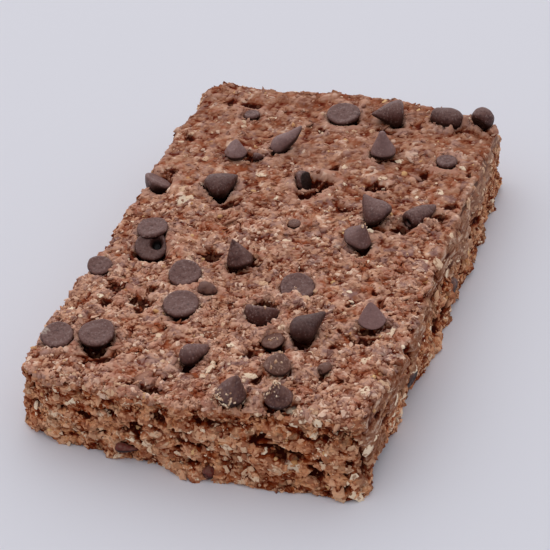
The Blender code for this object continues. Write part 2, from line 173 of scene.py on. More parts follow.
# Pale bits that stand out one by one: (kind, face, turn): rows of (along, across, half length, half width).
PALE_BITS = {
    ("oat", "top", 0): (
        (-21.2, 8.2, 1, 1.2), (-19.4, 6.2, 0.8, 1.1), (-17.9, 32.3, 0.7, 0.7), (-21.3, 19.8, 0.7, 0.8),
        (-3.8, 10.8, 0.5, 0.8), (3.2, 6.9, 0.6, 0.8), (7.8, -0.1, 0.6, 0.7), (2.5, -1.8, 1, 0.8),
        (5.4, 23.5, 0.7, 0.9), (13.6, 21.3, 1, 0.5), (25, 20.4, 0.6, 1.1), (15, 28.6, 0.9, 0.7),
        (6.5, 38.3, 0.7, 0.7), (10.2, 7.2, 0.6, 0.8), (15.8, -7.7, 0.4, 0.5), (20.6, -5, 0.7, 0.8),
        (27.4, -1.8, 1.2, 1.1), (4.1, -10.2, 1, 0.7), (12, -14.5, 0.6, 0.5), (10.9, -17.5, 0.9, 0.9),
        (-0.5, -26.9, 0.5, 0.5), (-10, -32.4, 1.1, 0.8), (-12, -37.5, 0.8, 0.4), (1.5, -38, 0.6, 1.8),
        (3.9, -39, 0.7, 1.2), (4.5, -37.2, 0.3, 0.4), (-6.5, -38.7, 0.4, 0.8), (-5, -38.1, 0.4, 0.8),
        (-4.1, -41, 0.7, 0.9), (8.9, -39.1, 1.3, 0.7), (8.5, -32.9, 0.7, 0.8), (10, -26.5, 0.7, 0.8),
        (8.5, -28.6, 0.3, 0.8), (3.5, -33.2, 0.7, 0.5), (9.4, -43.4, 0.5, 1.6), (19.4, -42.9, 0.4, 0.4),
        (25.6, -30.2, 1.5, 1.1), (17.7, -13.4, 0.5, 0.5), (18.6, -19, 0.5, 0.5), (26.4, -16.2, 0.4, 1.1),
        (27.6, -21.9, 0.4, 1.4), (27.7, -38, 0.9, 1.1), (-25.9, -25, 0.7, 0.7), (-23.6, -25.4, 0.6, 0.7),
        (-27.3, -29.2, 0.6, 0.8), (-22.6, -18.6, 0.7, 1.1), (-17.5, -17.9, 0.9, 0.9), (-20.8, -13.3, 0.7, 0.7),
        (18.9, -44.5, 1.2, 1.1), (21.4, -44.2, 1, 0.9), (-11.1, -45.8, 1.5, 0.5), (0.9, -41, 0.7, 0.7),
        (2.9, -42.5, 0.7, 0.8),
    ),
    ("nut", "top", 0): (
        (-21.7, 12.4, 0.9, 0.8), (-8.8, 12.1, 0.7, 0.7), (16.6, 24.9, 0.9, 1.1), (2.9, 32.2, 1.2, 0.8),
        (10.3, 18, 0.7, 0.8), (13.7, 47.5, 0.6, 1.1), (6, 49.3, 0.8, 1.1), (11.6, 3.6, 0.8, 0.9),
        (29, -6.4, 0.9, 0.9), (0.5, -22.3, 0.9, 1.1), (-3.5, -33.4, 0.7, 0.9), (27.9, -34.3, 0.5, 0.7),
        (28.5, -32.7, 0.4, 0.5), (28.9, -35.3, 0.4, 0.7), (-10.8, -10.4, 0.8, 0.9), (-8.9, -9.3, 0.6, 0.9),
        (-13.7, -6.3, 0.8, 0.9), (-7.3, -11.2, 0.6, 0.8), (-16.1, -14.2, 0.9, 0.5),
    ),
    ("oat", "top", 10): ((-8.8, 16.8, 1.2, 0.7),),
    ("oat", "top", -20): ((2.6, -14.7, 1, 0.8),),
    ("oat", "front", 0): (
        (-13.6, 13.2, 0.7, 0.7), (12.4, 13.5, 0.7, 0.5), (-19.6, 9.2, 0.8, 0.9), (-17.1, 13.2, 0.7, 0.7),
        (-9.8, 11.2, 0.9, 0.8), (-6.7, 12.2, 0.8, 0.5), (-2.6, 13.4, 0.8, 0.7), (-11.4, 4.4, 0.5, 1.2),
        (-7.8, 4, 0.4, 0.4), (1.1, 7.4, 0.3, 0.5), (3.7, 8.9, 0.7, 0.7), (3.3, 11.3, 0.9, 0.4),
        (10.3, 10.4, 0.4, 0.3), (10.3, 6.5, 0.8, 0.7), (12.9, 9.5, 0.4, 0.5), (16, 4.1, 1.2, 1.1),
        (18.4, 12, 0.9, 0.8), (19.9, 13.6, 1, 1), (21.9, 12.5, 0.9, 0.9), (24.5, 10, 0.8, 0.9), (27.5, 8.6, 0.8, 0.8),
        (28.1, 3.6, 0.8, 0.9), (21.6, 4.6, 0.7, 0.7), (6.7, 4, 0.6, 0.5), (11.8, 2.1, 0.5, 0.4),
        (27.2, 5.1, 0.8, 0.7), (26.4, 12.5, 0.5, 0.5), (17.4, 10, 0.7, 0.4), (-12.1, 13.3, 0.9, 0.7),
        (-12.7, 12.1, 0.4, 0.9), (-24.8, 11.5, 0.7, 0.7), (-26.6, 5.8, 0.6, 0.7), (-20.1, 4.4, 0.8, 0.8),
        (-15.7, 2.5, 0.7, 0.5), (-22.1, 5.4, 0.6, 0.5), (-6.2, 4, 1, 0.8), (9.8, 4.5, 0.7, 0.7),
    ),
    ("oat", "front", 20): ((-22.5, 10.1, 0.7, 0.9),),
    ("nut", "front", -40): ((-8.2, 5.9, 0.7, 0.7),),
    ("oat", "front", -30): ((6.3, 8.4, 1.7, 0.4),),
    ("oat", "front", -20): (
        (5.2, 6.5, 1.4, 0.9), (7.7, 6.5, 1, 0.8), (-0.6, 4, 0.9, 0.4), (23, 8.5, 0.7, 0.3),
    ),
    ("nut", "front", 0): (
        (18.5, 4.6, 0.8, 1), (24.3, 1.6, 0.9, 0.5), (-2.2, 3, 0.9, 0.7), (2.1, 5, 0.8, 0.8), (-24.6, 2, 0.8, 0.5),
        (-18.8, 3, 0.7, 0.5),
    ),
    ("oat", "right", 0): (
        (36, 8.3, 2.1, 2), (20.4, 11.7, 1.2, 1.7), (-43.3, 7.1, 1.6, 1.3), (-34.8, 13.7, 0.9, 1.5),
        (-32.4, 8.5, 1.4, 1), (-0.7, 13.5, 1.2, 1.3), (4.3, 7.4, 1.6, 1), (-14, 11.4, 1.2, 1.3),
    ),
    ("nut", "right", 0): (
        (-29.7, 6.5, 1.9, 1), (-19, 9.5, 2.1, 1.3), (16.2, 3.5, 1.9, 1),
    ),
}
# How the dough varies from place to place: rows of (amount, size, squeeze along x, y and z, seed).
EVEN = (1.0, 1.0, 1.0)
VARIATIONS = {
    "pit depth": ((0.4, 1.2, EVEN, 85), (0.25, 0.7, EVEN, 86)),
    "crumbly patches": ((0.8, 6.5, EVEN, 41), (0.35, 2.8, EVEN, 42)),
    "edge of the smear": ((2.7, 7.0, (0.0, 1.0, 0.0), 31), (1.5, 2.6, (0.0, 1.0, 0.6), 32)),
    "streaks of the smear": ((1.0, 1.0, (1.0, 0.2, 1.3), 61), (0.5, 1.0, (2.0, 0.5, 2.6), 64)),
    "height of the ledge": ((0.5, 5.0, EVEN, 66),),
    "gaps in the ledge": ((1.0, 4.0, EVEN, 68),),
    "grain": ((0.16, 0.8, EVEN, 67),),
    "shore round a chip": ((0.25, 1.3, EVEN, 90), (0.12, 0.75, EVEN, 390)),
    "swell round a chip": ((0.6, 2.0, EVEN, 190), (0.7, 0.75, EVEN, 390)),
}
PIT_EDGE = (0.6, 1.3, 95)       # how far and how finely the pits' outlines are torn, and a seed
SIDE_PITS_DEEPER = 0.35         # pits on the cut sides, against those on the top
FLAT_LAYERS = (0.62, 0.62, 1.15)        # squeeze of the crumbs where the cut sides tear in flat layers
# The smeared band's lower edge, how far it drops near the front, and its streaks; the step back under the ledge.
SMEAR_HEIGHT, SMEAR_DROP, STREAK_DEPTH = 7.2, 6.0, 0.32
LEDGE_HEIGHT, LEDGE_THICKNESS, LEDGE_DEPTH = 11.2, 1.1, 0.75
# The top is softer towards the back: where that starts along y, and over what length it comes on.
SOFT_FROM, SOFT_OVER = -36.0, 62.0
# Shade in sunken places: (rounds of smoothing that set how wide the surroundings are, weight).
SUNKEN_WIDTHS = ((5, 1.6), (40, 1.2))
# Smooth places that the pan pressed flat, painted paler and greyer as painted sheen: (x, y, half width, half length).
PRESSED = (
    (-21.3, 17.2, 4.0, 3.2), (18.7, 37.3, 4.0, 3.0), (-15.0, -40.5, 9.0, 4.0), (-9.0, -29.5, 6.0, 4.0),
    (-2.0, 28.0, 6.0, 4.0), (20.0, -12.5, 4.5, 4.0), (-22.0, 30.0, 4.0, 5.0), (3.0, -4.0, 5.0, 3.5),
)
# Oat flour smeared into the surface: (face, along, across, half length, half width, strength).
FLOURY = (
    ("top", -20.3, 5.1, 1.3, 1.5, 0.9), ("top", 18.9, -44.5, 2.4, 1.6, 0.75), ("top", -11.5, -46.0, 5.5, 0.6, 0.45),
    ("top", 2.9, 32.2, 1.0, 0.6, 0.6), ("top", 5.4, 23.5, 1.0, 0.7, 0.6), ("top", 10.9, -17.5, 0.8, 0.5, 0.9),
    ("front", -9.6, 13.3, 6.5, 0.45, 0.5), ("front", 18.5, 4.6, 1.5, 1.0, 0.8),
)

# ---- loose bits on the dough ----
SHADE_UNDER_CRUMBS = 0.2        # between loose crumbs the dough is in their shade
# Heaps of bits: how many are thrown, then from-to of the longest side, of the thickness as a share of it and of
# the share sunk in, then how much they tilt and how level they lie on the cut sides.
HEAPS = {
    "fine": (9400, (0.35, 0.85), (0.5, 0.9), (0.2, 0.8), 0.35),
    "middling": (8200, (0.7, 1.6), (0.45, 0.75), (0.3, 0.9), 0.3),
    "shore of the chips": (1000, (0.5, 1.3), (0.5, 0.8), (-0.3, 0.6), 0.4),
    "near top": (5000, (0.5, 1.35), (0.5, 0.85), (0.1, 0.7), 0.35),
    "large": (620, (1.8, 3.2), (0.28, 0.45), (0.7, 1.0), 0.15),
    "shards": (3400, (0.6, 2.4), (0.16, 0.34), (0.2, 0.9), 0.2, 0.35),
    "flakes": (1100, (0.6, 2.2), (0.14, 0.28), (0.2, 0.9), 0.2, 0.35),
    "flecks": (420, (0.5, 1.3), (0.4, 0.8), (0.3, 0.9), 0.35),
    "nuts": (240, (0.5, 1.3), (0.5, 0.8), (0.2, 0.8), 0.35),
}
# Pieces: (name, heaps, plain shape, how dented, material, how much paler on top as painted light and darker below as
# painted shade, smooth or with facets).
BIT_PIECES = (
    ("crumbs_fine", ("fine",), "pebble", 0.36, "dough", 0.5, False),
    ("crumbs", ("middling", "shore of the chips"), "pebble", 0.4, "dough", 0.5, False),
    ("crumbs_on_top", ("near top",), "pebble", 0.38, "dough", 0.5, False),
    ("clumps", ("large",), "pebble", 0.25, "dough", 0.5, True),
    ("crumb_shards", ("shards",), "flake", 0.26, "dough", 0.2, False),
    ("oat_flakes", ("flakes",), "flake", 0.24, "oat", 0.15, False),
    ("oat_crumbs", ("flecks",), "pebble", 0.3, "oat", 0.2, False),
    ("nut_bits", ("nuts",), "pebble", 0.25, "nut", 0.2, True),
)
FLAKE_SIDES = 6
LOWEST = 0.02           # no bit reaches through the sole
BIT_LENGTHS, BIT_WIDTHS = (0.8, 1.5), (0.6, 1.0)        # shares of a bit's size
LAYERED_SPIN, FREE_SPIN = 0.5, 9.0      # spread of the turns, in radians: along the layers, or any way
# Which of PALE_BITS join a piece, and their thickness as a share of their width.
PLACED_BITS = {"oat_flakes": ("oat", 0.25), "nut_bits": ("nut", 0.5)}

# ---- chocolate chips, from the same table as their solids ----
# Middle of the base, where the tip points (azimuth, elevation), diameter of the base, length, and the tip's bend.
Chip = namedtuple("Chip", "x y z azimuth elevation diameter length bend")
CHIPS = [Chip(*row) for row in (
    (-19.5, -36.0, 15.3, 111, -80, 6.3, 4.8, 0.0),
    (-26.0, -37.5, 14.6, 111, -80, 5.8, 4.8, 0.0),
    (-27.3, -17.3, 14.4, 120, -70, 4.6, 4.0, 0.0),
    (-21.9, -5.6, 15.6, 60, -82, 6.0, 4.0, 0.0),
    (-20.8, -9.0, 14.0, 111, -62, 6.2, 4.4, 0.0),
    (-11.5, -16.0, 14.8, 111, -72, 5.8, 4.6, 0.0),
    (-9.0, -24.4, 14.8, 111, -80, 6.4, 4.8, 0.0),
    (-7.5, -19.2, 14.3, 0, -5, 2.4, 3.2, 0.0),
    (-27.1, 10.6, 14.6, -130, -55, 5.8, 4.4, 0.0),
    (-16.5, 9.0, 14.6, 55, 5, 6.2, 6.6, 0.0),
    (-15.8, 21.6, 14.4, 110, 80, 4.8, 4.2, 0.0),
    (-12.4, 21.8, 14.9, 20, 0, 1.8, 2.2, 0.0),
    (-10.1, 26.0, 14.8, 20, 5, 4.2, 6.4, 3.0),
    (-0.1, 41.0, 15.4, 111, -82, 6.8, 4.8, 0.0),
    (11.4, 43.2, 15.2, -160, 5, 6.2, 6.2, 0.0),
    (11.5, 29.2, 14.2, 130, 85, 5.6, 5.2, 0.0),
    (16.9, 45.1, 14.8, -12, 0, 4.6, 6.8, 0.0),
    (26.6, 43.8, 14.8, 70, 25, 5.0, 3.5, 0.0),
    (-2.2, 17.0, 14.1, 30, -8, 4.0, 5.4, 0.0),
    (23.5, 30.3, 14.5, 0, -90, 4.2, 3.4, 0.0),
    (17.2, 8.2, 14.3, 158, 42, 6.0, 5.6, 0.0),
    (14.4, 0.5, 14.0, 20, 66, 6.0, 4.6, 0.0),
    (21.8, 9.0, 14.0, 60, 2, 4.6, 7.0, 0.0),
    (-2.9, -10.6, 13.8, 170, 74, 5.2, 5.4, 0.0),
    (8.7, -14.8, 14.6, 111, -75, 6.2, 4.8, 0.0),
    (4.8, -21.3, 14.2, -90, -50, 5.8, 4.6, 0.0),
    (12.2, -28.5, 14.9, 45, 14, 5.8, 7.0, 0.0),
    (9.0, -28.6, 13.8, 0, -75, 4.2, 3.4, 0.0),
    (24.0, -21.7, 14.0, 110, 73, 5.4, 4.4, 0.0),
    (-3.8, -38.2, 14.3, 40, 8, 4.6, 5.8, -1.6),
    (12.5, -36.6, 14.0, 50, 78, 4.6, 3.6, 0.0),
    (7.4, -45.0, 13.9, 20, 73, 5.2, 5.0, 0.0),
    (15.2, -43.4, 13.7, -100, 84, 5.8, 4.6, 0.0),
    (19.3, -35.2, 14.3, 60, 0, 1.8, 2.4, 0.0),
    (-17.8, 36.6, 15.3, 0, -85, 3.4, 2.6, 0.0),
    (2.0, 3.4, 14.6, 0, -90, 2.6, 2.4, 0.0),
    (31.0, -22.0, 4.4, 170, 10, 4.6, 4.0, 0.0),
    (31.6, 5.2, 3.4, 180, 15, 4.2, 4.0, 0.0),
    (4.3, -50.3, 1.3, 75, 5, 1.9, 3.0, 0.0),
    (-11.8, -49.0, 2.6, 10, 0, 1.8, 3.6, 0.0),
)]
LYING_ON_TIP = -45      # a chip whose elevation is less shows its base
MOAT_DEPTH = 0.12       # how far the dough draws back all round a chip
MOAT_WIDTH = 0.5
POCKET_DEPTH = 1.6      # how far it makes way under a chip
# How far it draws back on the side that faces the camera, where a chip's rim stands clear; the moat is darkened with
# painted shade in step with it.
DEEP_MOATS = {
    1: 1.2, 4: 0.8, 5: 1.0, 6: 0.8, 7: 0.9, 9: 0.9, 10: 1.0, 13: 0.7, 14: 0.7, 15: 0.9, 16: 0.8,
    19: 0.4, 20: 0.5, 21: 0.8, 22: 0.6, 24: 0.8, 26: 0.6, 27: 1.1, 28: 0.2, 29: 1.1,
    30: 0.9, 32: 0.8, 33: 1.1,
}
TOWARDS_CAMERA = (0.358, -0.934)        # level direction
SWELL_HEIGHT = 0.45     # dough pushed up by a chip
SWELL_REACH = 0.9
HIGH_SWELLS = {17: 1.9, 18: 1.2, 23: 1.0}       # the same on the side that faces the camera
# Fullness of a chip's belly: radius falls as (1 - share ** first) ** second from base to tip.
PLAIN_BELLY = (1.5, 1.3)
BELLIES = {
    8: (2.5, 0.8), 10: (1.6, 1.2), 12: (2.0, 0.9), 16: (1.3, 1.8), 17: (5.0, 0.7), 18: (4.0, 0.7), 21: (1.7, 1.2),
    26: (2.4, 0.8), 27: (2.2, 2.2), 29: (1.1, 1.1), 30: (1.8, 2.2), 31: (2.0, 1.0), 33: (1.1, 1.2), 34: (2.5, 0.8),
    37: (2.5, 0.8), 38: (2.5, 0.8), 39: (2.0, 0.9), 40: (1.5, 1.4),
}
# Thickness of a chip's drawn-out tip where it isn't the usual one, and girth as a share of the solid's.
PLAIN_NECK = 0.5
NECKS = {10: 0.8, 13: 1.5, 15: 0.7, 16: 1.6, 17: 2.0, 19: 1.2, 21: 0.9, 23: 1.2, 27: 1.2, 29: 0.9, 30: 1.8, 32: 0.8,
         33: 0.6}
GIRTHS = {13: 0.9, 17: 0.6, 18: 0.85, 23: 0.85, 27: 0.86, 30: 0.82}
RIMS = {10: 2.0, 13: 1.6, 27: 2.4, 30: 1.9}     # a rounder base than the usual one
SIDE_BENDS = {13: 1.0, 27: 0.7, 30: 1.7}        # the tip's bend to the left, seen from the base
# Hollow bases of chips that lie on their side or are broken: number: depth.
HOLLOW_BASES = {10: 0.6, 19: 1.8, 23: 1.8}
# Round holes in a base: number: (level offset, other offset, radius, depth).
BASE_HOLES = {5: (-0.9, 0.3, 0.95, 1.6)}
# Broken faces: number: (direction, distance from the middle of the base, how dark the painted shade on the face is).
BROKEN_FACES = {
    11: ((-0.2, -0.4, 0.89), 2.5, 0.0), 18: ((0.25, -0.85, 0.46), 1.9, 0.0), 19: ((0.94, -0.11, 0.33), 1.7, 0.65),
    28: ((0.1, -0.5, 0.86), 0.6, 0.0), 29: ((0.15, -0.62, 0.77), 1.35, 0.0),
}
# Oat flour smeared on a chip: number: (x, y, radius).
CREAMY = {2: (-28.3, -37.6, 1.2)}
# Bloom of a chip against the usual: above 0 it is paler and greyer, below 0 darker.
BLOOM = {5: -0.4, 9: 0.4, 10: -0.3, 11: 1.0, 13: 0.8, 16: 0.8, 17: -0.3, 21: 0.3, 22: 0.5, 27: -0.6, 29: 0.9, 30: 0.3,
         31: 0.3, 32: 0.3, 35: 0.2}
RUDDY = {39: 1.0, 40: 0.8, 29: 0.25}            # how much of a chip's face is freshly cut and reddish
# Pale crumbs stuck to a chip: number: (the side they stick to, how many).
CRUMBED_CHIPS = {
    32: ((-0.3, -0.8, 0.1), 60), 33: ((-0.5, -0.45, 0.65), 42), 22: ((0.1, -0.1, 1.0), 9), 25: ((0.3, -0.9, 0.1), 5),
    31: ((0.0, -0.4, 0.9), 14), 30: ((-0.6, -0.6, 0.4), 8), 28: ((0.0, -0.3, 1.0), 8), 26: ((-0.3, -0.2, 0.9), 6),
}
STUCK_CRUMB_SIZE = (0.08, 0.3)
# Dough dust on a chip: 0 is none, 1 is well covered.
DUSTY_CHIPS = {2: 0.2, 8: 0.8, 11: 0.5, 22: 0.35, 24: 0.4, 28: 1.0, 31: 1.1, 32: 0.6, 33: 0.55, 34: 1.0, 36: 1.0,
               40: 0.6}
CHIP_AROUND = 40        # faces round a chip, and rings over its base, its rim and its belly
BASE_RINGS, RIM_RINGS, BELLY_RINGS = 15, 6, 17
PLAIN_HOLLOW = 0.08     # dimple of a plain base
CHIP_DENTS = (0.22, 2.6)        # how deep and how wide the dents of a chip are
CHIP_GRAIN, DUSTY_GRAIN, GRAIN_SIZE = 0.05, 0.1, 0.9    # finer roughness, and how much dust adds to it

# ---- camera, light and floor ----
CAMERA_PLACE = (87.73, -226.96, 183.07)
CAMERA_YAW, CAMERA_PITCH, CAMERA_ROLL = 21.35, 36.23, -4.07     # degrees
CAMERA_LENS, FILM_WIDTH = 108.0, 36.0
KEY_LIGHT = ((-0.6, 0.9, 1.3), 1.8, 3.5)        # place in metres, size in metres, power in watts
FLOOR_REACH = 3.0       # metres
# The studio's walls are brightest in one direction and dimmest away from it.
BRIGHT_SIDE = (-0.36, 0.70, 0.61)
DIM_WALL, BRIGHT_WALL = 0.30, 1.15


# ================= numbers and noise =================
def smoothstep(t):
    """0 below 0 and 1 above 1, with an even rise between."""
    t = np.clip(t, 0.0, 1.0)
    return t * t * (3.0 - 2.0 * t)


def lattice_value(cell, seed):
    """A repeatable value from -1 to 1 for each whole-numbered cell; the large odd numbers only scramble its bits."""
    mask = 0xFFFFFFFF
    h = (cell[..., 0] * 73856093 + cell[..., 1] * 19349663 + cell[..., 2] * 83492791 + seed * 2654435) & mask
    h = ((h ^ (h >> 15)) * 2246822519) & mask
    h = ((h ^ (h >> 13)) * 3266489917) & mask
    return (h ^ (h >> 16)) / 2147483647.5 - 1.0


def value_noise(points, size, seed):
    """Smooth noise whose lumps are about size across."""
    scaled = points / size
    cell = np.floor(scaled).astype(np.int64)
    part = smoothstep(scaled - cell)
    total = np.zeros(points.shape[:-1])
    for step in product((0, 1), repeat=3):
        step = np.array(step)
        weight = np.prod(np.where(step == 1, part, 1.0 - part), axis=-1)
        total += weight * lattice_value(cell + step, seed)
    return total


def varied(name, points, shift=0):
    """The sum of the noises in one row of VARIATIONS."""
    return sum(amount * value_noise(points * squeeze, size, seed + shift)
               for amount, size, squeeze, seed in VARIATIONS[name])


def vector_noise(points, size, seed):
    """Three independent noises side by side, for bending a pattern or a surface."""
    return np.stack([value_noise(points, size, seed + k) for k in range(3)], axis=-1)


def unit(vectors):
    """Each vector made 1 long."""
    return vectors / np.linalg.norm(vectors, axis=-1, keepdims=True)


def crumb_cells(points, size, seed):
    """Crumbs packed side by side: distance to the nearest crevice, in cells, and a value of its own for each crumb."""
    scaled = points / size + 0.25 * vector_noise(points, size, seed + 50)
    cell = np.floor(scaled).astype(np.int64)
    nearest = np.full(len(points), 9.0)
    second = nearest.copy()
    own = np.zeros(len(points))
    for step in product((-1, 0, 1), repeat=3):
        around = cell + np.array(step)
        middle = around + 0.5 + 0.45 * np.stack([lattice_value(around, seed + k) for k in range(3)], axis=-1)
        away = np.linalg.norm(middle - scaled, axis=-1)
        closer = away < nearest
        second = np.where(closer, nearest, np.minimum(second, away))
        own = np.where(closer, lattice_value(around, seed + 3), own)
        nearest = np.where(closer, away, nearest)
    return second - nearest, own


# ================= the slab's skin =================
def plan_outline(x, y):
    """The rounded plan outline next to the point (x, y) of the plain rectangle, and its outward direction."""
    near_x = np.clip(x, CORNER_RADIUS - HALF_X, HALF_X - CORNER_RADIUS)
    near_y = np.clip(y, CORNER_RADIUS - HALF_Y, HALF_Y - CORNER_RADIUS)
    away = np.hypot(x - near_x, y - near_y)
    out_x, out_y = (x - near_x) / away, (y - near_y) / away
    return near_x + CORNER_RADIUS * out_x, near_y + CORNER_RADIUS * out_y, out_x, out_y


def side_rows(step):
    """Rows of the side from the top edge down: (inset from the outline, height, upward share of the normal)."""
    rows = []
    turns = max(2, round(TOP_RADIUS * math.pi / 2 / step))
    for k in range(1, turns + 1):
        angle = math.pi / 2 * k / turns
        rows.append((TOP_RADIUS * (1 - math.sin(angle)), HEIGHT - TOP_RADIUS * (1 - math.cos(angle)), math.cos(angle)))
    flat = HEIGHT - TOP_RADIUS - FOOT_RADIUS
    count = round(flat / step)
    rows += [(0.0, HEIGHT - TOP_RADIUS - flat * (k + 1) / count, 0.0) for k in range(count)]
    rows += [(FOOT_RADIUS * 0.3, FOOT_RADIUS * 0.3, 0.0), (FOOT_RADIUS, 0.0, 0.0)]
    return rows


def slab_skin(step):
    """The plain rounded slab: points, outward normals, quads, the sole's middle fan and a share that is 0 on the sole.

    The top is a rectangle's grid drawn onto the rounded plan outline ring by ring; rows of the same outline go
    down round the edge and the side, and shrunken copies of it close the sole towards its middle.
    """
    nx, ny = round(2 * HALF_X / step), round(2 * HALF_Y / step)
    x, y = np.meshgrid(np.linspace(-HALF_X, HALF_X, nx + 1), np.linspace(-HALF_Y, HALF_Y, ny + 1))
    share = np.maximum(abs(x) / HALF_X, abs(y) / HALF_Y)
    centre = share < 1e-9
    divide = np.where(centre, 1.0, share)
    edge_x, edge_y, out_x, out_y = plan_outline(np.where(centre, HALF_X, x / divide), y / divide)
    top = np.stack(((edge_x - TOP_RADIUS * out_x) * share, (edge_y - TOP_RADIUS * out_y) * share,
                    np.full_like(x, HEIGHT)), axis=-1)
    index = np.arange(x.size).reshape(ny + 1, nx + 1)
    ring = np.concatenate((index[0, :-1], index[:-1, -1], index[-1, :0:-1], index[:0:-1, 0]))
    edge_x, edge_y, out_x, out_y = [part.reshape(-1)[ring] for part in (edge_x, edge_y, out_x, out_y)]
    size = len(ring)
    points = [top.reshape(-1, 3)]
    normals = [np.tile((0.0, 0.0, 1.0), (index.size, 1))]
    quads = [np.stack((index[:-1, :-1], index[:-1, 1:], index[1:, 1:], index[1:, :-1]), axis=-1).reshape(-1, 4)]
    above, start = ring, index.size

    def join(above, start):
        below = start + np.arange(size)
        quads.append(np.stack((above, below, np.roll(below, -1), np.roll(above, -1)), axis=-1))
        return below, start + size

    for inset, height, up in side_rows(step):
        level = math.sqrt(1.0 - up * up)
        points.append(np.stack((edge_x - inset * out_x, edge_y - inset * out_y, np.full(size, height)), axis=-1))
        normals.append(np.stack((out_x * level, out_y * level, np.full(size, up)), axis=-1))
        above, start = join(above, start)
    foot = points[-1]
    upper = start
    for part in SOLE_SHARES:
        points.append(foot * (part, part, 1.0))
        normals.append(np.tile((0.0, 0.0, -1.0), (size, 1)))
        above, start = join(above, start)
    points.append(np.zeros((1, 3)))
    normals.append(np.array([[0.0, 0.0, -1.0]]))
    fan = np.stack((above, np.full(size, start), np.roll(above, -1)), axis=-1)
    points = np.concatenate(points)
    live = (np.arange(len(points)) < upper).astype(float)
    return points, np.concatenate(normals), np.concatenate(quads), fan, live


def hand_cut(points):
    """Move the plain slab's corners and sides to where the knife left them."""
    x, y, z = points.T
    a, b, up = x / HALF_X, y / HALF_Y, z / HEIGHT
    moved = points.copy()
    for (side_x, side_y), (top, foot) in CORNER_SHIFTS.items():
        weight = (1 + side_x * a) / 2 * (1 + side_y * b) / 2
        moved += np.outer(weight * up, top) + np.outer(weight * (1 - up), foot)
    sides = {"left": (y, -a, 0, -1), "right": (y, a, 0, 1), "front": (x, -b, 1, -1), "back": (x, b, 1, 1)}
    for name, (along, across, axis, sign) in sides.items():
        place, top, foot = np.array(SIDE_BULGES[name], float).T
        bulge = np.interp(along, place, top) * up + np.interp(along, place, foot) * (1 - up)
        moved[:, axis] += sign * smoothstep((across - 0.6) / 0.4) * bulge
    return moved


FACE_COLUMNS = {"top": (0, 1), "front": (0, 2), "right": (1, 2)}


def face_weights(normals):
    """How far each normal belongs to the top, the front and the right side."""
    return {
        "top": smoothstep((normals[:, 2] - 0.3) / 0.6),
        "front": smoothstep((-normals[:, 1] - 0.5) / 0.4),
        "right": smoothstep((normals[:, 0] - 0.5) / 0.4),
    }


def spot(points, weights, face, along, across, half_length, half_width, turn=0.0):
    """A soft-edged oval on one face: 1 in its middle, falling to 0 just past its outline."""
    first, second = FACE_COLUMNS[face]
    u, v = points[:, first] - along, points[:, second] - across
    cos, sin = math.cos(math.radians(turn)), math.sin(math.radians(turn))
    reach = ((u * cos + v * sin) / half_length) ** 2 + ((v * cos - u * sin) / half_width) ** 2
    return weights[face] * np.exp(-reach ** 1.5)


def smear_band(points, normals):
    """How far a point lies in the band that the knife smeared along the upper half of the right side."""
    right = smoothstep((normals[:, 0] - 0.55) / 0.35)
    lower_edge = SMEAR_HEIGHT + varied("edge of the smear", points)
    lower_edge = lower_edge - SMEAR_DROP * smoothstep((-35.0 - points[:, 1]) / 5.0)
    return right * smoothstep((points[:, 2] - lower_edge) / 1.6)


def sunken(height, quads, rounds):
    """How far each point lies under the mean height of its surroundings, which widen by half a grid step a round."""
    corners = quads.reshape(-1)
    uses = np.maximum(np.bincount(corners, minlength=len(height)), 1)
    mean = height
    for _ in range(rounds):
        mean = np.bincount(corners, np.repeat(mean[quads].mean(axis=1), 4), len(height)) / uses
    return mean - height


def pit_depth(cut, weights):
    """Depth of the pits, slits and cracks: an oval hollow for each, its outline torn and its bottom uneven."""
    amount, size, seed = PIT_EDGE
    torn = cut + amount * vector_noise(cut, size, seed)
    depth = np.zeros(len(cut))
    for hollow in HOLLOWS:
        depth = depth + hollow[-1] * spot(torn, weights, *hollow[:-1])
    for (face, turn), rows in PITS.items():
        for *oval, deep in rows:
            depth = np.maximum(depth, deep * spot(torn, weights, face, *oval, turn))
    return depth * (1.0 + SIDE_PITS_DEEPER * (1.0 - weights["top"])) * (1.0 + varied("pit depth", cut))


def crumb_relief(cut, top, crumbly, smear, far):
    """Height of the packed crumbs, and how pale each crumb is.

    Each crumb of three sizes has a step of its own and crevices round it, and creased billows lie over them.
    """
    height, tint = np.zeros(len(cut)), np.zeros(len(cut))
    calm = (0.45 + 0.55 * crumbly) * (1.0 - 0.5 * smear)
    layered = cut * np.where(top[:, None] > 0.5, EVEN, FLAT_LAYERS)
    for size, top_step, side_step, top_groove, side_groove, seed in CRUMB_RELIEF:
        gap, own = crumb_cells(layered, size, seed)
        broken = smoothstep(0.55 + 0.9 * value_noise(layered, 1.4 * size, seed + 9))
        groove = (1.0 - smoothstep(gap * size / CREVICE_WIDTH)) * broken
        step = side_step + (top_step - side_step) * top
        amount = side_groove + (top_groove - side_groove) * top
        height += calm * (1.0 - 0.6 * far) * (step * own - amount * groove)
        tint += 0.45 * own
    for size, on_top, on_side, seed in BILLOWS:
        bent = layered + 0.3 * size * vector_noise(layered, size, seed + 30)
        billow = np.sqrt(abs(value_noise(bent, size, seed)))
        height += (on_side + (on_top - on_side) * top) * calm * (1.6 * billow - 1.0)
    return height + varied("grain", cut) * calm * (1.0 - 0.8 * far), tint


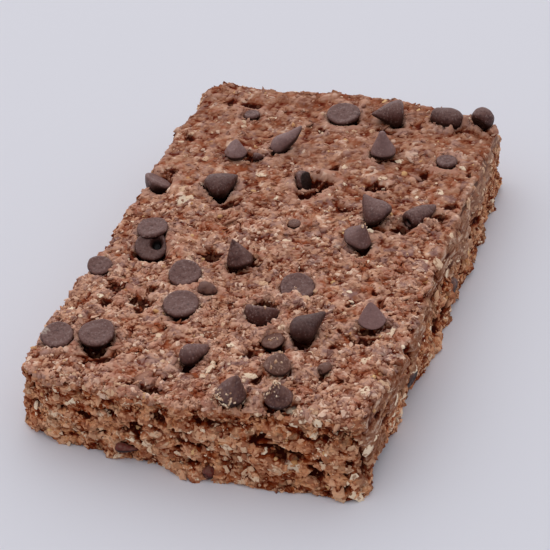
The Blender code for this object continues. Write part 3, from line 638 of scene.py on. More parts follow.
def make_way_for_chips(cut, normals, height, depth):
    """Draw the dough back and swell it round each chip, painted shade by its moat and edge; returns where crumbs line
    the shores.
    """
    shore_crumbs = np.zeros(len(cut))
    for number, chip in enumerate(CHIPS, start=1):
        near = np.linalg.norm(cut - chip[:3], axis=1) < chip.diameter + chip.length
        points = cut[near] + normals[near] * height[near, None]
        away = chip_distance(points, number) + varied("shore round a chip", points, number)
        on_tip = chip.elevation < LYING_ON_TIP
        middle = np.array(chip[:2]) + (0.0 if on_tip else 0.5 * chip.length) * chip_axes(chip)[:2, 2]
        offset = points[:, :2] - middle
        distance = np.linalg.norm(offset, axis=1)
        ahead = smoothstep((offset @ TOWARDS_CAMERA / np.maximum(distance, 0.1) + 0.1) / 0.9)
        moat = DEEP_MOATS.get(number, 0.0) * ahead
        if on_tip and number in DEEP_MOATS:
            # A chip that lies on its tip overhangs, so the dough draws back under its whole rim.
            away = np.minimum(away, distance - chip.diameter / 2 + 0.3)
        swell = SWELL_HEIGHT * (1.0 - 0.8 * ahead) + HIGH_SWELLS.get(number, 0.0) * ahead
        rise = np.exp(-((away - SWELL_REACH) / SWELL_REACH) ** 2)
        height[near] += swell * rise * (0.6 + varied("swell round a chip", points, number))
        height[near] -= (1.0 - smoothstep(away / MOAT_WIDTH)) * (MOAT_DEPTH + moat)
        height[near] -= POCKET_DEPTH * smoothstep(-away / 0.6)
        # Painted shade: the moat on the camera's side and the dough just under the chip's edge are darkened through
        # the depth.
        shade = moat * (1.0 - smoothstep(away / (2.0 * MOAT_WIDTH)))
        depth[near] = np.maximum(depth[near], np.maximum(shade, 1.2 * smoothstep((0.1 - away) / 0.4)))
        on_shore = np.exp(-((away - 0.4) / 0.5) ** 2) * (1.0 - 0.8 * ahead)
        shore_crumbs[near] = np.maximum(shore_crumbs[near], on_shore)
    return shore_crumbs


def dough_skin():
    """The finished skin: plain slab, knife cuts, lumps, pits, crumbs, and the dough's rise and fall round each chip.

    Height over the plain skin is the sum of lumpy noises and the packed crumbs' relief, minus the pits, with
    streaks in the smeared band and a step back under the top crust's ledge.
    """
    plain, normals, quads, fan, live = slab_skin(SKIN_STEP)
    cut = hand_cut(plain)
    weights = face_weights(normals)
    top = weights["top"]
    height = np.zeros(len(cut))
    for size, on_top, on_side, seed in LUMPS:
        height += (on_side + (on_top - on_side) * top) * value_noise(cut, size, seed)
    depth = pit_depth(cut, weights)
    smear = smear_band(cut, normals) * (1.0 - smoothstep((depth - 0.1) / 0.5))
    pressed = np.zeros(len(cut))
    for x, y, half_x, half_y in PRESSED:
        pressed = np.maximum(pressed, spot(cut, weights, "top", x, y, half_x, half_y))
    crumbly = smoothstep(0.68 + varied("crumbly patches", cut))
    crumbly = np.maximum(crumbly * (1.0 - 0.8 * pressed), 0.75 * (1.0 - top))
    far = smoothstep((cut[:, 1] - SOFT_FROM) / SOFT_OVER) * top
    soft = 1.0 - (1.0 - 0.8 * far) * (1.0 - 0.6 * top * (1.0 - crumbly))
    relief, tint = crumb_relief(cut, top, crumbly, smear, far)
    height += relief + STREAK_DEPTH * smear * varied("streaks of the smear", cut)
    off_ledge = (cut[:, 2] - LEDGE_HEIGHT - varied("height of the ledge", cut)) / LEDGE_THICKNESS
    ledge = weights["front"] * np.exp(-off_ledge ** 2) * smoothstep((cut[:, 0] + HALF_X) / 6.0)
    height -= LEDGE_DEPTH * ledge * smoothstep(0.75 + varied("gaps in the ledge", cut))
    height -= 0.12 * (1.0 - top) + depth
    shore = make_way_for_chips(cut, normals, height, depth)
    height *= live
    floury = np.zeros(len(cut))
    for *oval, strength in FLOURY:
        floury = np.maximum(floury, strength * spot(cut, weights, *oval))
    # Painted light and shade from the relief: above 0 it darkens pits, crevices and the chips' moats, below 0 it pales
    # raised crumbs.
    sunk = 0.6 * depth - 0.05 + sum(weight * sunken(height, quads, rounds) for rounds, weight in SUNKEN_WIDTHS)
    # Painted shade on the right side below the smeared band.
    sunk = np.clip(sunk + 0.2 * weights["right"] * (1.0 - smear), -1.0, 1.0) * live
    return {
        "points": cut + normals * height[:, None], "normals": normals, "quads": quads, "fan": fan, "weights": weights,
        "live": live, "sunk": sunk, "cut_side": (1.0 - top) * live, "floury": floury, "smear": smear, "far": far,
        "pressed": pressed, "soft": soft, "depth": depth, "shore": shore, "tint": np.clip(tint, -1.0, 1.0),
        "crumbly": crumbly * (1.0 - 0.75 * far) * (1.0 - 0.5 * smear),
    }


# ================= meshes =================
def make_piece(name, points, faces, material, attributes, smooth=True):
    """A finished piece from points in millimetres and lists of equal-sided faces; it rides on the one body."""
    mesh = bpy.data.meshes.new(name)
    placed = (points + CENTRE_SHIFT) * METRE
    sides = np.concatenate([np.full(len(part), part.shape[1]) for part in faces])
    corners = np.concatenate([part.reshape(-1) for part in faces])
    mesh.vertices.add(len(placed))
    mesh.vertices.foreach_set("co", placed.astype(np.float32).reshape(-1))
    mesh.loops.add(len(corners))
    mesh.loops.foreach_set("vertex_index", corners.astype(np.int32))
    mesh.polygons.add(len(sides))
    mesh.polygons.foreach_set("loop_start", np.concatenate(((0,), np.cumsum(sides)[:-1])).astype(np.int32))
    mesh.polygons.foreach_set("use_smooth", np.full(len(sides), smooth))
    mesh.update(calc_edges=True)
    for key, values in attributes.items():
        layer = mesh.attributes.new(key, "FLOAT", "POINT")
        layer.data.foreach_set("value", np.asarray(values, np.float32))
    mesh.materials.append(material)
    piece = bpy.data.objects.new(name, mesh)
    bpy.context.scene.collection.objects.link(piece)
    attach(piece, "root")
    return piece


def skin_places(skin, rng, count, chance):
    """Random places on the dough, as likely as chance says: points, outward normals and the nearest skin points."""
    quads = skin["quads"]
    triangles = np.concatenate((quads[:, (0, 1, 2)], quads[:, (0, 2, 3)]))
    corners = skin["points"][triangles]
    cross = np.cross(corners[:, 1] - corners[:, 0], corners[:, 2] - corners[:, 0])
    area = np.linalg.norm(cross, axis=1)
    weight = area * (chance * skin["live"])[triangles].mean(axis=1)
    chosen = rng.choice(len(triangles), count, p=weight / weight.sum())
    first, second = rng.random((2, count))
    over = first + second > 1.0
    first, second = np.where(over, 1.0 - first, first), np.where(over, 1.0 - second, second)
    base = corners[chosen]
    points = base[:, 0] + first[:, None] * (base[:, 1] - base[:, 0]) + second[:, None] * (base[:, 2] - base[:, 0])
    # The slope of the crumbs is halved, so that a bit doesn't stand on end in a crevice.
    nearest = triangles[chosen, 0]
    return points, unit(cross[chosen] / area[chosen, None] + skin["normals"][nearest]), nearest


def turned_axes(normals, spin, tilt, rng):
    """For each normal three directions: two across it turned by spin, and itself, all tilted at random by tilt."""
    up = unit(normals + tilt * rng.normal(size=normals.shape))
    side = unit(np.cross(np.where(abs(up[:, 2:3]) < 0.9, (0.0, 0.0, 1.0), (1.0, 0.0, 0.0)), up))
    other = np.cross(up, side)
    cos, sin = np.cos(spin)[:, None], np.sin(spin)[:, None]
    return np.stack((cos * side + sin * other, cos * other - sin * side, up), axis=1)


def pebble_shape():
    """A twenty-sided ball of radius 1: the plain form of a crumb."""
    golden = (1 + 5 ** 0.5) / 2
    points = np.array([(-1, golden, 0), (1, golden, 0), (-1, -golden, 0), (1, -golden, 0),
                       (0, -1, golden), (0, 1, golden), (0, -1, -golden), (0, 1, -golden),
                       (golden, 0, -1), (golden, 0, 1), (-golden, 0, -1), (-golden, 0, 1)], float)
    faces = np.array([(0, 11, 5), (0, 5, 1), (0, 1, 7), (0, 7, 10), (0, 10, 11), (1, 5, 9), (5, 11, 4), (11, 10, 2),
                      (10, 7, 6), (7, 1, 8), (3, 9, 4), (3, 4, 2), (3, 2, 6), (3, 6, 8), (3, 8, 9), (4, 9, 5),
                      (2, 4, 11), (6, 2, 10), (8, 6, 7), (9, 8, 1)])
    return points / np.linalg.norm(points[0]), faces


def flake_shape():
    """A thin round flake of radius 1 and half thickness 1: a rim, and a smaller ring and a middle on each face."""
    segments = FLAKE_SIDES
    angle = 2 * math.pi * np.arange(segments) / segments
    ring = np.stack((np.cos(angle), np.sin(angle)), axis=-1)
    points = np.concatenate((
        np.column_stack((ring, np.zeros(segments))),
        np.column_stack((0.72 * ring, np.ones(segments))),
        np.column_stack((0.72 * ring, -np.ones(segments))),
        ((0.0, 0.0, 1.15), (0.0, 0.0, -1.15)),
    ))
    here = np.arange(segments)
    after = np.roll(here, -1)
    upper, lower = segments + here, 2 * segments + here
    next_upper, next_lower = segments + after, 2 * segments + after
    faces = np.concatenate((
        np.stack((here, after, next_upper), axis=-1), np.stack((here, next_upper, upper), axis=-1),
        np.stack((after, here, lower), axis=-1), np.stack((after, lower, next_lower), axis=-1),
        np.stack((upper, next_upper, np.full(segments, 3 * segments)), axis=-1),
        np.stack((next_lower, lower, np.full(segments, 3 * segments + 1)), axis=-1),
    ))
    return points, faces


def heap_of_bits(shape, places, axes, sizes, dents, rng):
    """All bits of a kind at once: the shape, dented corner by corner, stretched to sizes, turned and put in place."""
    plain, faces = shape
    count = len(places)
    dented = plain + dents * rng.uniform(-1.0, 1.0, (count, len(plain), 3))
    local = dented * sizes[:, None, :]
    points = places[:, None, :] + local @ axes
    points[..., 2] = np.maximum(points[..., 2], LOWEST)
    offsets = (np.arange(count) * len(plain))[:, None, None]
    height = local[..., 2] / sizes[:, None, 2]
    return points.reshape(-1, 3), (faces + offsets).reshape(-1, 3), height.reshape(-1)


def clear_of_chips(points, margin):
    """Which points lie at least margin outside every chip."""
    clear = np.ones(len(points), bool)
    for number in range(1, len(CHIPS) + 1):
        clear &= chip_distance(points, number) > margin
    return clear


def scattered(skin, rng, chance, count, size_range, flatness, sink, tilt, layered=0.0):
    """Places, axes, half sizes and nearest skin points of bits strewn over the dough and pressed into it.

    Layered bits on the cut sides lie level, as they do inside the slab, and their edges stick out.
    """
    places, facing, nearest = skin_places(skin, rng, count, chance)
    sizes = size_range[0] * (size_range[1] / size_range[0]) ** rng.random(count)
    keep = clear_of_chips(places, 0.25 * sizes)
    places, facing, nearest, sizes = places[keep], facing[keep], nearest[keep], sizes[keep]
    count = len(places)
    stretch = [rng.uniform(*share, count) for share in (BIT_LENGTHS, BIT_WIDTHS, flatness)]
    half = sizes[:, None] / 2 * np.stack(stretch, axis=-1)
    level = layered * skin["cut_side"][nearest][:, None]
    lying = facing * (1.0 - level) + level * (0.0, 0.0, 1.0)
    axes = turned_axes(lying, rng.normal(0.0, LAYERED_SPIN if layered else FREE_SPIN, count), tilt, rng)
    under = (half[:, 2] * rng.uniform(*sink, count))[:, None] + level * 0.7 * half[:, 1:2]
    return places - facing * under, axes, half, nearest


def placed(skin, kind, thickness):
    """The same for the pale bits that stand out one by one: each lies along its face, three quarters sunk."""
    found = []
    for (row_kind, face, turn), rows in PALE_BITS.items():
        if row_kind != kind:
            continue
        first, second = FACE_COLUMNS[face]
        on_face = np.flatnonzero(skin["weights"][face] > 0.5)
        flat = skin["points"][on_face][:, (first, second)]
        for along, across, half_length, half_width in rows:
            nearest = on_face[np.argmin(np.hypot(*(flat - (along, across)).T))]
            normal = skin["normals"][nearest]
            side = np.zeros(3)
            side[first], side[second] = math.cos(math.radians(turn)), math.sin(math.radians(turn))
            side = unit(side - normal * (side @ normal))
            half = np.array((half_length, half_width, thickness * min(half_length, half_width)))
            place = skin["points"][nearest] - 0.5 * half[2] * normal
            found.append((place, np.stack((side, np.cross(normal, side), normal)), half, nearest))
    return [np.array(part) for part in zip(*found)]


def strewn_on_chips(skin, rng):
    """The same for the crumbs that stick to the chips, where each chip's row says."""
    found = []
    for number, (direction, count) in CRUMBED_CHIPS.items():
        chip = CHIPS[number - 1]
        points = chip_mesh(number)[0]
        out = points - np.array(chip[:3]) - 0.25 * chip.length * chip_axes(chip)[:, 2]
        reach = np.linalg.norm(out, axis=1)
        facing = out @ unit(np.array(direction)) / np.maximum(reach, 0.1)
        chance = smoothstep((facing - 0.45) / 0.5) * (points[:, 2] > HEIGHT - 0.4)
        chosen = rng.choice(len(points), count, p=chance / chance.sum())
        normal = out[chosen] / reach[chosen, None]
        size = rng.uniform(*STUCK_CRUMB_SIZE, count)
        half = size[:, None] * rng.uniform(0.6, 1.2, (count, 3))
        nearest = np.full(count, np.argmin(np.linalg.norm(skin["points"] - chip[:3], axis=1)))
        places = points[chosen] + 0.1 * size[:, None] * normal
        found.append((places, turned_axes(normal, rng.uniform(0.0, 6.0, count), 0.4, rng), half, nearest))
    return [np.concatenate(part) for part in zip(*found)]


def bits_piece(name, groups, shape, dents, skin, rng, material, shade, smooth):
    """One piece from all bits of a kind; shade is how much paler their tops are painted, as painted light, with
    painted shade lower down.
    """
    places, axes, half, nearest = [np.concatenate(part) for part in zip(*groups)]
    points, faces, height = heap_of_bits(shape, places, axes, half, dents, rng)
    corners = len(points) // len(places)
    sunk, cut_side, smear, soft = [np.repeat(skin[key][nearest], corners)
                                   for key in ("sunk", "cut_side", "smear", "soft")]
    # Painted light and shade on each bit: its top paler, its underside darker, and the dough's painted shade under it
    # carried over.
    return make_piece(name, points, [faces], material, {
        "sunk": np.clip(0.1 - shade * height + 0.45 * sunk, -1.0, 1.0), "cut_side": cut_side, "smear": 0.6 * smear,
        "soft": soft, "tint": np.repeat(rng.uniform(-1.0, 1.0, len(places)), corners),
    }, smooth)


# ================= materials =================
def linear(hex_colour):
    """An sRGB hex colour as linear red, green, blue and alpha."""
    parts = [int(hex_colour[k:k + 2], 16) / 255 for k in (1, 3, 5)]
    return (*[p / 12.92 if p <= 0.04045 else ((p + 0.055) / 1.055) ** 2.4 for p in parts], 1.0)


def add(tree, kind, sockets=None, out=0, **settings):
    """Add one node and return its output number out.

    Settings are its properties, and sockets gives each input a number, a hex colour or an output to link from.
    """
    made = tree.nodes.new("ShaderNode" + kind)
    for key, value in settings.items():
        setattr(made, key, value)
    for socket, value in (sockets or {}).items():
        if isinstance(value, bpy.types.NodeSocket):
            tree.links.new(value, made.inputs[socket])
        else:
            made.inputs[socket].default_value = linear(value) if isinstance(value, str) else value
    return made.outputs[out] if made.outputs else made.inputs[out]


def paint(tree, colour, coats):
    """Lay coats over a colour: each is (value, where it starts to show, where it is full, most cover, hex colour).

    A coat whose start is above its full shows where the value is low.
    """
    for value, start, full, most, coat in coats:
        cover = add(tree, "MapRange", {0: value, 1: start, 2: full, 4: most}, interpolation_type="SMOOTHSTEP")
        colour = add(tree, "Mix", {0: cover, 6: colour, 7: coat}, 2, data_type="RGBA")
    return colour


def new_material(name):
    """An empty node material, its surface socket, and the object's coordinates in millimetres."""
    material = bpy.data.materials.new(name)
    material.use_nodes = True
    tree = material.node_tree
    tree.nodes.clear()
    surface = add(tree, "OutputMaterial")
    place = add(tree, "TexCoord", out="Object")
    mm = add(tree, "Mapping", {"Vector": place, "Scale": (1 / METRE,) * 3})
    return material, tree, surface, mm


def dough_material():
    """Pressed cocoa and oat dough: matte, granular, raised crumbs tan with flour and painted highlight, crevices red
    with painted shade.
    """
    material, tree, surface, mm = new_material("pressed_cocoa_oat_dough")
    sunk, cut_side, floury, smear, pressed, soft, tint = [
        add(tree, "Attribute", out="Fac", attribute_name=name)
        for name in ("sunk", "cut_side", "floury", "smear", "pressed", "soft", "tint")]
    back = add(tree, "SeparateXYZ", {0: mm}, 1)
    patches, mottle, warmth, grit = [
        add(tree, "TexNoise", {"Vector": mm, "Scale": 1 / size, "Detail": detail, "Roughness": rough,
                               "Distortion": bend})
        for size, detail, rough, bend in (
            (4.5, 3.0, 0.5, 0.0), (1.7, 2.0, 0.55, 0.0), (2.6, 3.0, 0.6, 0.4), (0.45, 2.0, 0.5, 0.0))]
    bent = add(tree, "TexNoise", {"Vector": mm, "Scale": 1 / 0.9, "Detail": 1.0}, "Color")
    bent = add(tree, "VectorMath", {0: bent, 1: (0.6, 0.6, 0.6), 2: mm}, operation="MULTIPLY_ADD")
    # Cocoa and flour are far finer than half a millimetre; their grains are drawn as coarse as they need to show.
    grain, sand = [
        add(tree, "SeparateColor", {0: add(tree, "TexVoronoi", {"Vector": bent, "Scale": 1 / size}, "Color")}, channel)
        for size, channel in ((1.2, 0), (0.52, 1))]
    colour = paint(tree, "#d09a78", (
        (back, 10.0, -35.0, 0.7, "#e6b190"),
        (cut_side, 0.0, 1.0, 0.85, "#b4642f"),
        (patches, 0.46, 0.34, 0.55, "#94583c"),
        (patches, 0.54, 0.66, 0.5, "#cf9f86"),
        # Painted sheen: the pressed, smooth places paler and greyer.
        (pressed, 0.0, 1.0, 0.4, "#b88c7c"),
        (grain, 0.34, 0.0, 0.7, "#7a3617"),
        (grain, 0.68, 1.0, 0.6, "#e0b090"),
        (sand, 0.28, 0.0, 0.7, "#5a200c"),
        (sand, 0.80, 1.0, 0.8, "#f8d4b6"),
        (soft, 0.0, 1.0, 0.7, "#ae7b61"),
        (mottle, 0.48, 0.36, 0.65, "#74361c"),
        (mottle, 0.54, 0.68, 0.5, "#d2a490"),
        (tint, -0.1, -0.8, 0.85, "#6a2c14"),
        (tint, 0.15, 0.7, 0.7, "#e2aa88"),
        (tint, 0.6, 0.95, 0.85, "#ffe0c6"),
        (warmth, 0.48, 0.37, 0.7, "#a04d28"),
        (warmth, 0.54, 0.65, 0.75, "#93706b"),
        (back, -5.0, 45.0, 0.42, "#83503a"),
    ))
    # The cut sides are torn in layers, pale and dark by turns, with flour on single grains.
    layer, streak = [
        add(tree, "TexNoise", {"Vector": add(tree, "Mapping", {"Vector": bent, "Scale": tuple(1 / s for s in sizes)}),
                               "Scale": 1.0, "Detail": 3.0, "Roughness": 0.6})
        for sizes in ((2.4, 2.4, 0.6), (0.8, 4.5, 0.75))]
    torn = paint(tree, colour, (
        (patches, 0.52, 0.40, 0.75, "#78340f"),
        (patches, 0.51, 0.62, 0.6, "#f2c8a6"),
        (mottle, 0.50, 0.38, 0.7, "#86390f"),
        (warmth, 0.52, 0.61, 0.7, "#9c8674"),
        (layer, 0.48, 0.36, 0.75, "#6a2408"),
        (layer, 0.54, 0.66, 0.7, "#f4cdb0"),
        (tint, 0.45, 0.85, 0.7, "#ffe8da"),
        (sand, 0.80, 0.98, 0.65, "#ffe6d6"),
    ))
    colour = add(tree, "Mix", {0: cut_side, 6: colour, 7: torn}, 2, data_type="RGBA")
    # Painted light and shade from the relief: raised crumbs paler, partly flour and partly painted highlight; pits and
    # crevices dark red as painted shade.
    colour = paint(tree, colour, (
        (sunk, -0.05, -0.55, 0.35, "#e6b8a4"),
        (sunk, 0.0, 0.25, 0.35, "#8c4424"),
        (sunk, 0.10, 0.45, 0.9, "#641800"),
        (sunk, 0.45, 0.95, 0.88, "#2a0400"),
        (sand, 0.66, 1.0, 0.22, "#c88a68"),
    ))
    colour = add(tree, "Mix", {0: cut_side, 6: colour, 7: "#fce2c4"}, 2, data_type="RGBA", blend_type="MULTIPLY")
    # The knife drew the smeared band out in streaks along the side.
    smeared = paint(tree, "#976b55", (
        (streak, 0.50, 0.40, 0.9, "#66331c"),
        (streak, 0.54, 0.63, 0.8, "#d8bca8"),
        # Painted shade in the smeared band's hollows.
        (sunk, 0.0, 0.25, 0.6, "#7a3a1c"),
        (sunk, 0.15, 0.6, 0.9, "#3c0e00"),
        (back, -5.0, 45.0, 0.5, "#b59684"),
    ))
    share = add(tree, "Math", {0: smear, 1: 0.8}, operation="MULTIPLY")
    colour = add(tree, "Mix", {0: share, 6: colour, 7: smeared}, 2, data_type="RGBA")
    ragged = add(tree, "Math", {0: floury, 1: mottle}, operation="MULTIPLY")
    colour = paint(tree, colour, ((ragged, 0.12, 0.35, 0.85, "#ecd6bb"),))
    crisp = add(tree, "MapRange", {0: soft, 1: 0.0, 2: 1.0, 3: 1.0, 4: 0.2})
    grit = add(tree, "Math", {0: grit, 1: crisp}, operation="MULTIPLY")
    bump = add(tree, "Bump", {"Height": grit, "Distance": 0.3 * METRE, "Strength": 0.7})
    shader = add(tree, "BsdfPrincipled", {"Base Color": colour, "Roughness": 0.7, "IOR": 1.45,
                                          "Specular IOR Level": 0.05, "Normal": bump})
    tree.links.new(shader, surface)
    return material


def bit_material(name, pale, toasted, roughness):
    """Dry rolled oats or chopped nut: matte and pale, browned in places, dusted with the dough's crumbs, painted shade
    below.
    """
    material, tree, surface, mm = new_material(name)
    tint, sunk = [add(tree, "Attribute", out="Fac", attribute_name=name) for name in ("tint", "sunk")]
    dust, grain = [add(tree, "TexNoise", {"Vector": mm, "Scale": 1 / size, "Detail": detail})
                   for size, detail in ((0.8, 3.0), (0.25, 2.0))]
    colour = paint(tree, pale, (
        (tint, -1.0, 1.0, 1.0, toasted),
        (dust, 0.51, 0.62, 0.75, "#a06848"),
        # Painted shade on the bit's underside and where the dough round it is shaded.
        (sunk, 0.25, 0.9, 0.85, "#6a3018"),
    ))
    bump = add(tree, "Bump", {"Height": grain, "Distance": 0.1 * METRE, "Strength": 0.5})
    shader = add(tree, "BsdfPrincipled", {"Base Color": colour, "Roughness": roughness, "IOR": 1.45, "Normal": bump})
    tree.links.new(shader, surface)
    return material


def chocolate_material():
    """Dark chocolate set as a free drop: satin, bloom and painted sheen on top, painted shade below and in hollows,
    dough dust low down.
    """
    material, tree, surface, mm = new_material("dark_chocolate_with_bloom")
    dust, upward, deep, cream, ruddy, pale = [
        add(tree, "Attribute", out="Fac", attribute_name=name)
        for name in ("dust", "upward", "deep", "cream", "ruddy", "pale")]
    # Bloom's own crystals are too fine to show; its specks are drawn as coarse as they need.
    bloom, specks, crumbs, pits = [
        add(tree, "TexNoise", {"Vector": mm, "Scale": 1 / size, "Detail": detail, "Roughness": rough})
        for size, detail, rough in ((2.2, 3.0, 0.6), (0.4, 2.0, 0.5), (0.7, 3.0, 0.5), (0.6, 2.0, 0.5))]
    grains, bloom_and_sheen, smudge = [add(tree, "Math", {0: amount, 1: pattern}, operation="MULTIPLY")
                             for amount, pattern in ((dust, specks), (upward, bloom), (cream, crumbs))]
    cover = add(tree, "Math", {0: dust, 1: crumbs}, operation="ADD")
    colour = paint(tree, "#4e2a24", (
        (bloom, 0.35, 0.70, 0.8, "#5e3a34"),
        # Partly bloom, partly painted sheen: the parts that face up are paler and greyer.
        (bloom_and_sheen, 0.10, 0.44, 0.9, "#78564f"),
        (specks, 0.43, 0.33, 0.55, "#37201d"),
        (specks, 0.56, 0.70, 0.6, "#98817a"),
        (pale, 0.0, 1.0, 0.45, "#a88784"),
        (pale, 0.0, -1.0, 0.7, "#2c1411"),
        (ruddy, 0.0, 1.0, 0.9, "#6a221a"),
        # Painted shade on the parts that face down.
        (upward, 0.30, -0.25, 0.92, "#1c0502"),
        (cover, 0.80, 1.08, 0.85, "#7a5548"),
        (grains, 0.33, 0.43, 0.6, "#9c7a6c"),
        (grains, 0.40, 0.47, 0.5, "#c2a290"),
        (smudge, 0.30, 0.50, 0.8, "#c9b4a6"),
        # Painted shade in hollow bases, base holes and dark broken faces.
        (deep, 0.10, 0.80, 0.97, "#070101"),
    ))
    rough = add(tree, "MapRange", {0: bloom, 1: 0.3, 2: 0.7, 3: 0.38, 4: 0.52})
    bump = add(tree, "Bump", {"Height": pits, "Distance": 0.2 * METRE, "Strength": 0.7})
    shader = add(tree, "BsdfPrincipled", {"Base Color": colour, "Roughness": rough, "IOR": 1.46,
                                          "Specular IOR Level": 0.3, "Normal": bump})
    tree.links.new(shader, surface)
    return material


def floor_material():
    """Plain pale board."""
    material = bpy.data.materials.new("pale_board")
    material.use_nodes = True
    shader = material.node_tree.nodes["Principled BSDF"]
    shader.inputs["Base Color"].default_value = linear("#e2e1e7")
    shader.inputs["Roughness"].default_value = 0.6
    return material


# ================= chocolate chips =================
def chip_axes(chip):
    """Three directions of a chip as columns, the last one from its base to its tip."""
    turn, rise = math.radians(chip.azimuth), math.radians(chip.elevation)
    tip = np.array((math.cos(rise) * math.cos(turn), math.cos(rise) * math.sin(turn), math.sin(rise)))
    level = np.array((-math.sin(turn), math.cos(turn), 0.0))
    return np.stack((level, np.cross(tip, level), tip), axis=-1)


def belly_radius(share, number):
    """Radius of a drop-shaped chip at a share of its length: full belly, drawn-out and blunt tip."""
    first, second = BELLIES.get(number, PLAIN_BELLY)
    girth = GIRTHS.get(number, 1.0) * CHIPS[number - 1].diameter / 2
    neck = NECKS.get(number, PLAIN_NECK)
    return girth * (1.0 - share ** first) ** second + neck * (1.0 - share) ** 0.35 * share


def chip_distance(points, number):
    """Rough distance of points from a chip's surface, below zero inside it."""
    chip = CHIPS[number - 1]
    local = (points - chip[:3]) @ chip_axes(chip)
    share = np.clip(local[:, 2] / chip.length, 0.0, 1.0)
    aside = SIDE_BENDS.get(number, 0.0)
    off_axis = np.hypot(local[:, 0] - aside * share ** 2, local[:, 1] - chip.bend * share ** 2)
    radial = off_axis - belly_radius(share, number)
    ends = np.maximum(-local[:, 2], local[:, 2] - chip.length)
    return np.where(ends > 0.0, np.hypot(np.maximum(radial, 0.0), ends), np.maximum(radial, ends))


def chip_profile(number, length, rim):
    """Radius and height from the middle of the base, round its rim, up the belly to the rounded tip."""
    flat = np.linspace(0.0, 1.0, BASE_RINGS)
    turn = np.linspace(0.0, math.pi / 2, RIM_RINGS + 1)[1:]
    full = belly_radius(rim / length, number)
    belly = rim / length + (1.0 - rim / length) * np.sin(np.linspace(0.0, math.pi / 2, BELLY_RINGS + 1)[1:])
    radius = np.concatenate((flat * (full - rim), full - rim + rim * np.sin(turn), belly_radius(belly, number)))
    hollow = HOLLOW_BASES.get(number, PLAIN_HOLLOW) * (1.0 - smoothstep(flat / 0.95))
    ripple = 0.05 * (np.cos(9.0 * flat) - math.cos(9.0))
    return radius, np.concatenate((hollow + ripple, rim * (1 - np.cos(turn)), belly * length))


def chip_mesh(number):
    """A chip as its profile turned round its axis, its tip bent aside, gently dented: points, faces, painted shade."""
    chip = CHIPS[number - 1]
    plain_rim = 0.5 if chip.elevation < LYING_ON_TIP else min(1.1, 0.35 * min(chip.diameter, chip.length))
    radius, height = chip_profile(number, chip.length, RIMS.get(number, plain_rim))
    base_height = height[0]
    radius, height = radius[1:-1], height[1:-1]
    aside = SIDE_BENDS.get(number, 0.0)
    angle = 2 * math.pi * np.arange(CHIP_AROUND) / CHIP_AROUND
    curve = ((height / chip.length) ** 2)[:, None]
    rings = np.stack((radius[:, None] * np.cos(angle) + aside * curve,
                      radius[:, None] * np.sin(angle) + chip.bend * curve,
                      np.repeat(height[:, None], CHIP_AROUND, axis=1)), axis=-1)
    local = np.concatenate((rings.reshape(-1, 3), ((0.0, 0.0, base_height), (aside, chip.bend, chip.length))))
    # Painted shade inside a hollow base.
    deep = smoothstep((local[:, 2] - 0.15) / 0.5) * (np.arange(len(local)) < (BASE_RINGS - 1) * CHIP_AROUND)
    deep[-2] = float(base_height > 0.5)
    if number in BASE_HOLES:
        first, second, reach, depth = BASE_HOLES[number]
        hole = 1.0 - smoothstep(np.hypot(local[:, 0] - first, local[:, 1] - second) / reach - 0.5)
        hole *= local[:, 2] < 0.5
        local[:, 2] += depth * hole
        # Painted shade fills the hole.
        deep = np.maximum(deep, hole)
    base = np.array(chip[:3])
    points = local @ chip_axes(chip).T + base
    points = points + CHIP_DENTS[0] * vector_noise(points, CHIP_DENTS[1], 200 + 7 * number)
    grain = CHIP_GRAIN + DUSTY_GRAIN * DUSTY_CHIPS.get(number, 0.0)
    points = points + grain * vector_noise(points, GRAIN_SIZE, 700 + number)
    if number in BROKEN_FACES:
        direction, distance, dark = BROKEN_FACES[number]
        over = np.maximum((points - base) @ direction - distance, 0.0)
        points = points - 0.92 * over[:, None] * direction
        # Painted shade on a dark broken face.
        deep = np.maximum(deep, dark * smoothstep(over / 0.3))
    index = np.arange(len(radius) * CHIP_AROUND).reshape(len(radius), CHIP_AROUND)
    after = np.roll(index, -1, axis=1)
    quads = np.stack((index[:-1], after[:-1], after[1:], index[1:]), axis=-1).reshape(-1, 4)
    start = np.stack((after[0], index[0], np.full(CHIP_AROUND, len(points) - 2)), axis=-1)
    end = np.stack((index[-1], after[-1], np.full(CHIP_AROUND, len(points) - 1)), axis=-1)
    return points, [quads, start, end], deep


def make_chips(material):
    """Every chip as a piece of its own in place of its solid."""
    for number, chip in enumerate(CHIPS, start=1):
        points, faces, deep = chip_mesh(number)
        quads = faces[0]
        # Which way each point faces, for painted sheen on the tops and painted shade on the undersides; it also guides
        # the dust.
        across = np.cross(points[quads[:, 2]] - points[quads[:, 0]], points[quads[:, 3]] - points[quads[:, 1]])
        up = across[:, 2] / np.maximum(np.linalg.norm(across, axis=1), 1e-9)
        uses = np.maximum(np.bincount(quads.reshape(-1), minlength=len(points)), 1)
        upward = np.clip(np.bincount(quads.reshape(-1), np.repeat(up, 4), len(points)) / uses, -1.0, 1.0)
        upward[-2:] = upward[quads[0, 0]], upward[quads[-1, -1]]
        # Dust gathers low down, but not on a chip that shows its base.
        low = smoothstep((HEIGHT + 1.0 - points[:, 2]) / 1.2) * float(chip.elevation > LYING_ON_TIP)
        dust = np.maximum(0.42 * low, 0.62 * DUSTY_CHIPS.get(number, 0.0)) * smoothstep((upward + 0.1) / 0.35)
        x, y, reach = CREAMY.get(number, (0.0, 0.0, 1e-3))
        cream = np.exp(-((points[:, 0] - x) ** 2 + (points[:, 1] - y) ** 2) / reach ** 2)
        piece = make_piece("chocolate_%02d" % number, points, faces, material, {
            "dust": dust, "upward": upward, "deep": deep, "cream": cream,
            "ruddy": np.full(len(points), RUDDY.get(number, 0.0)),
            "pale": np.full(len(points), BLOOM.get(number, 0.0)),
        })
        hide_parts("chip_%02d" % number)


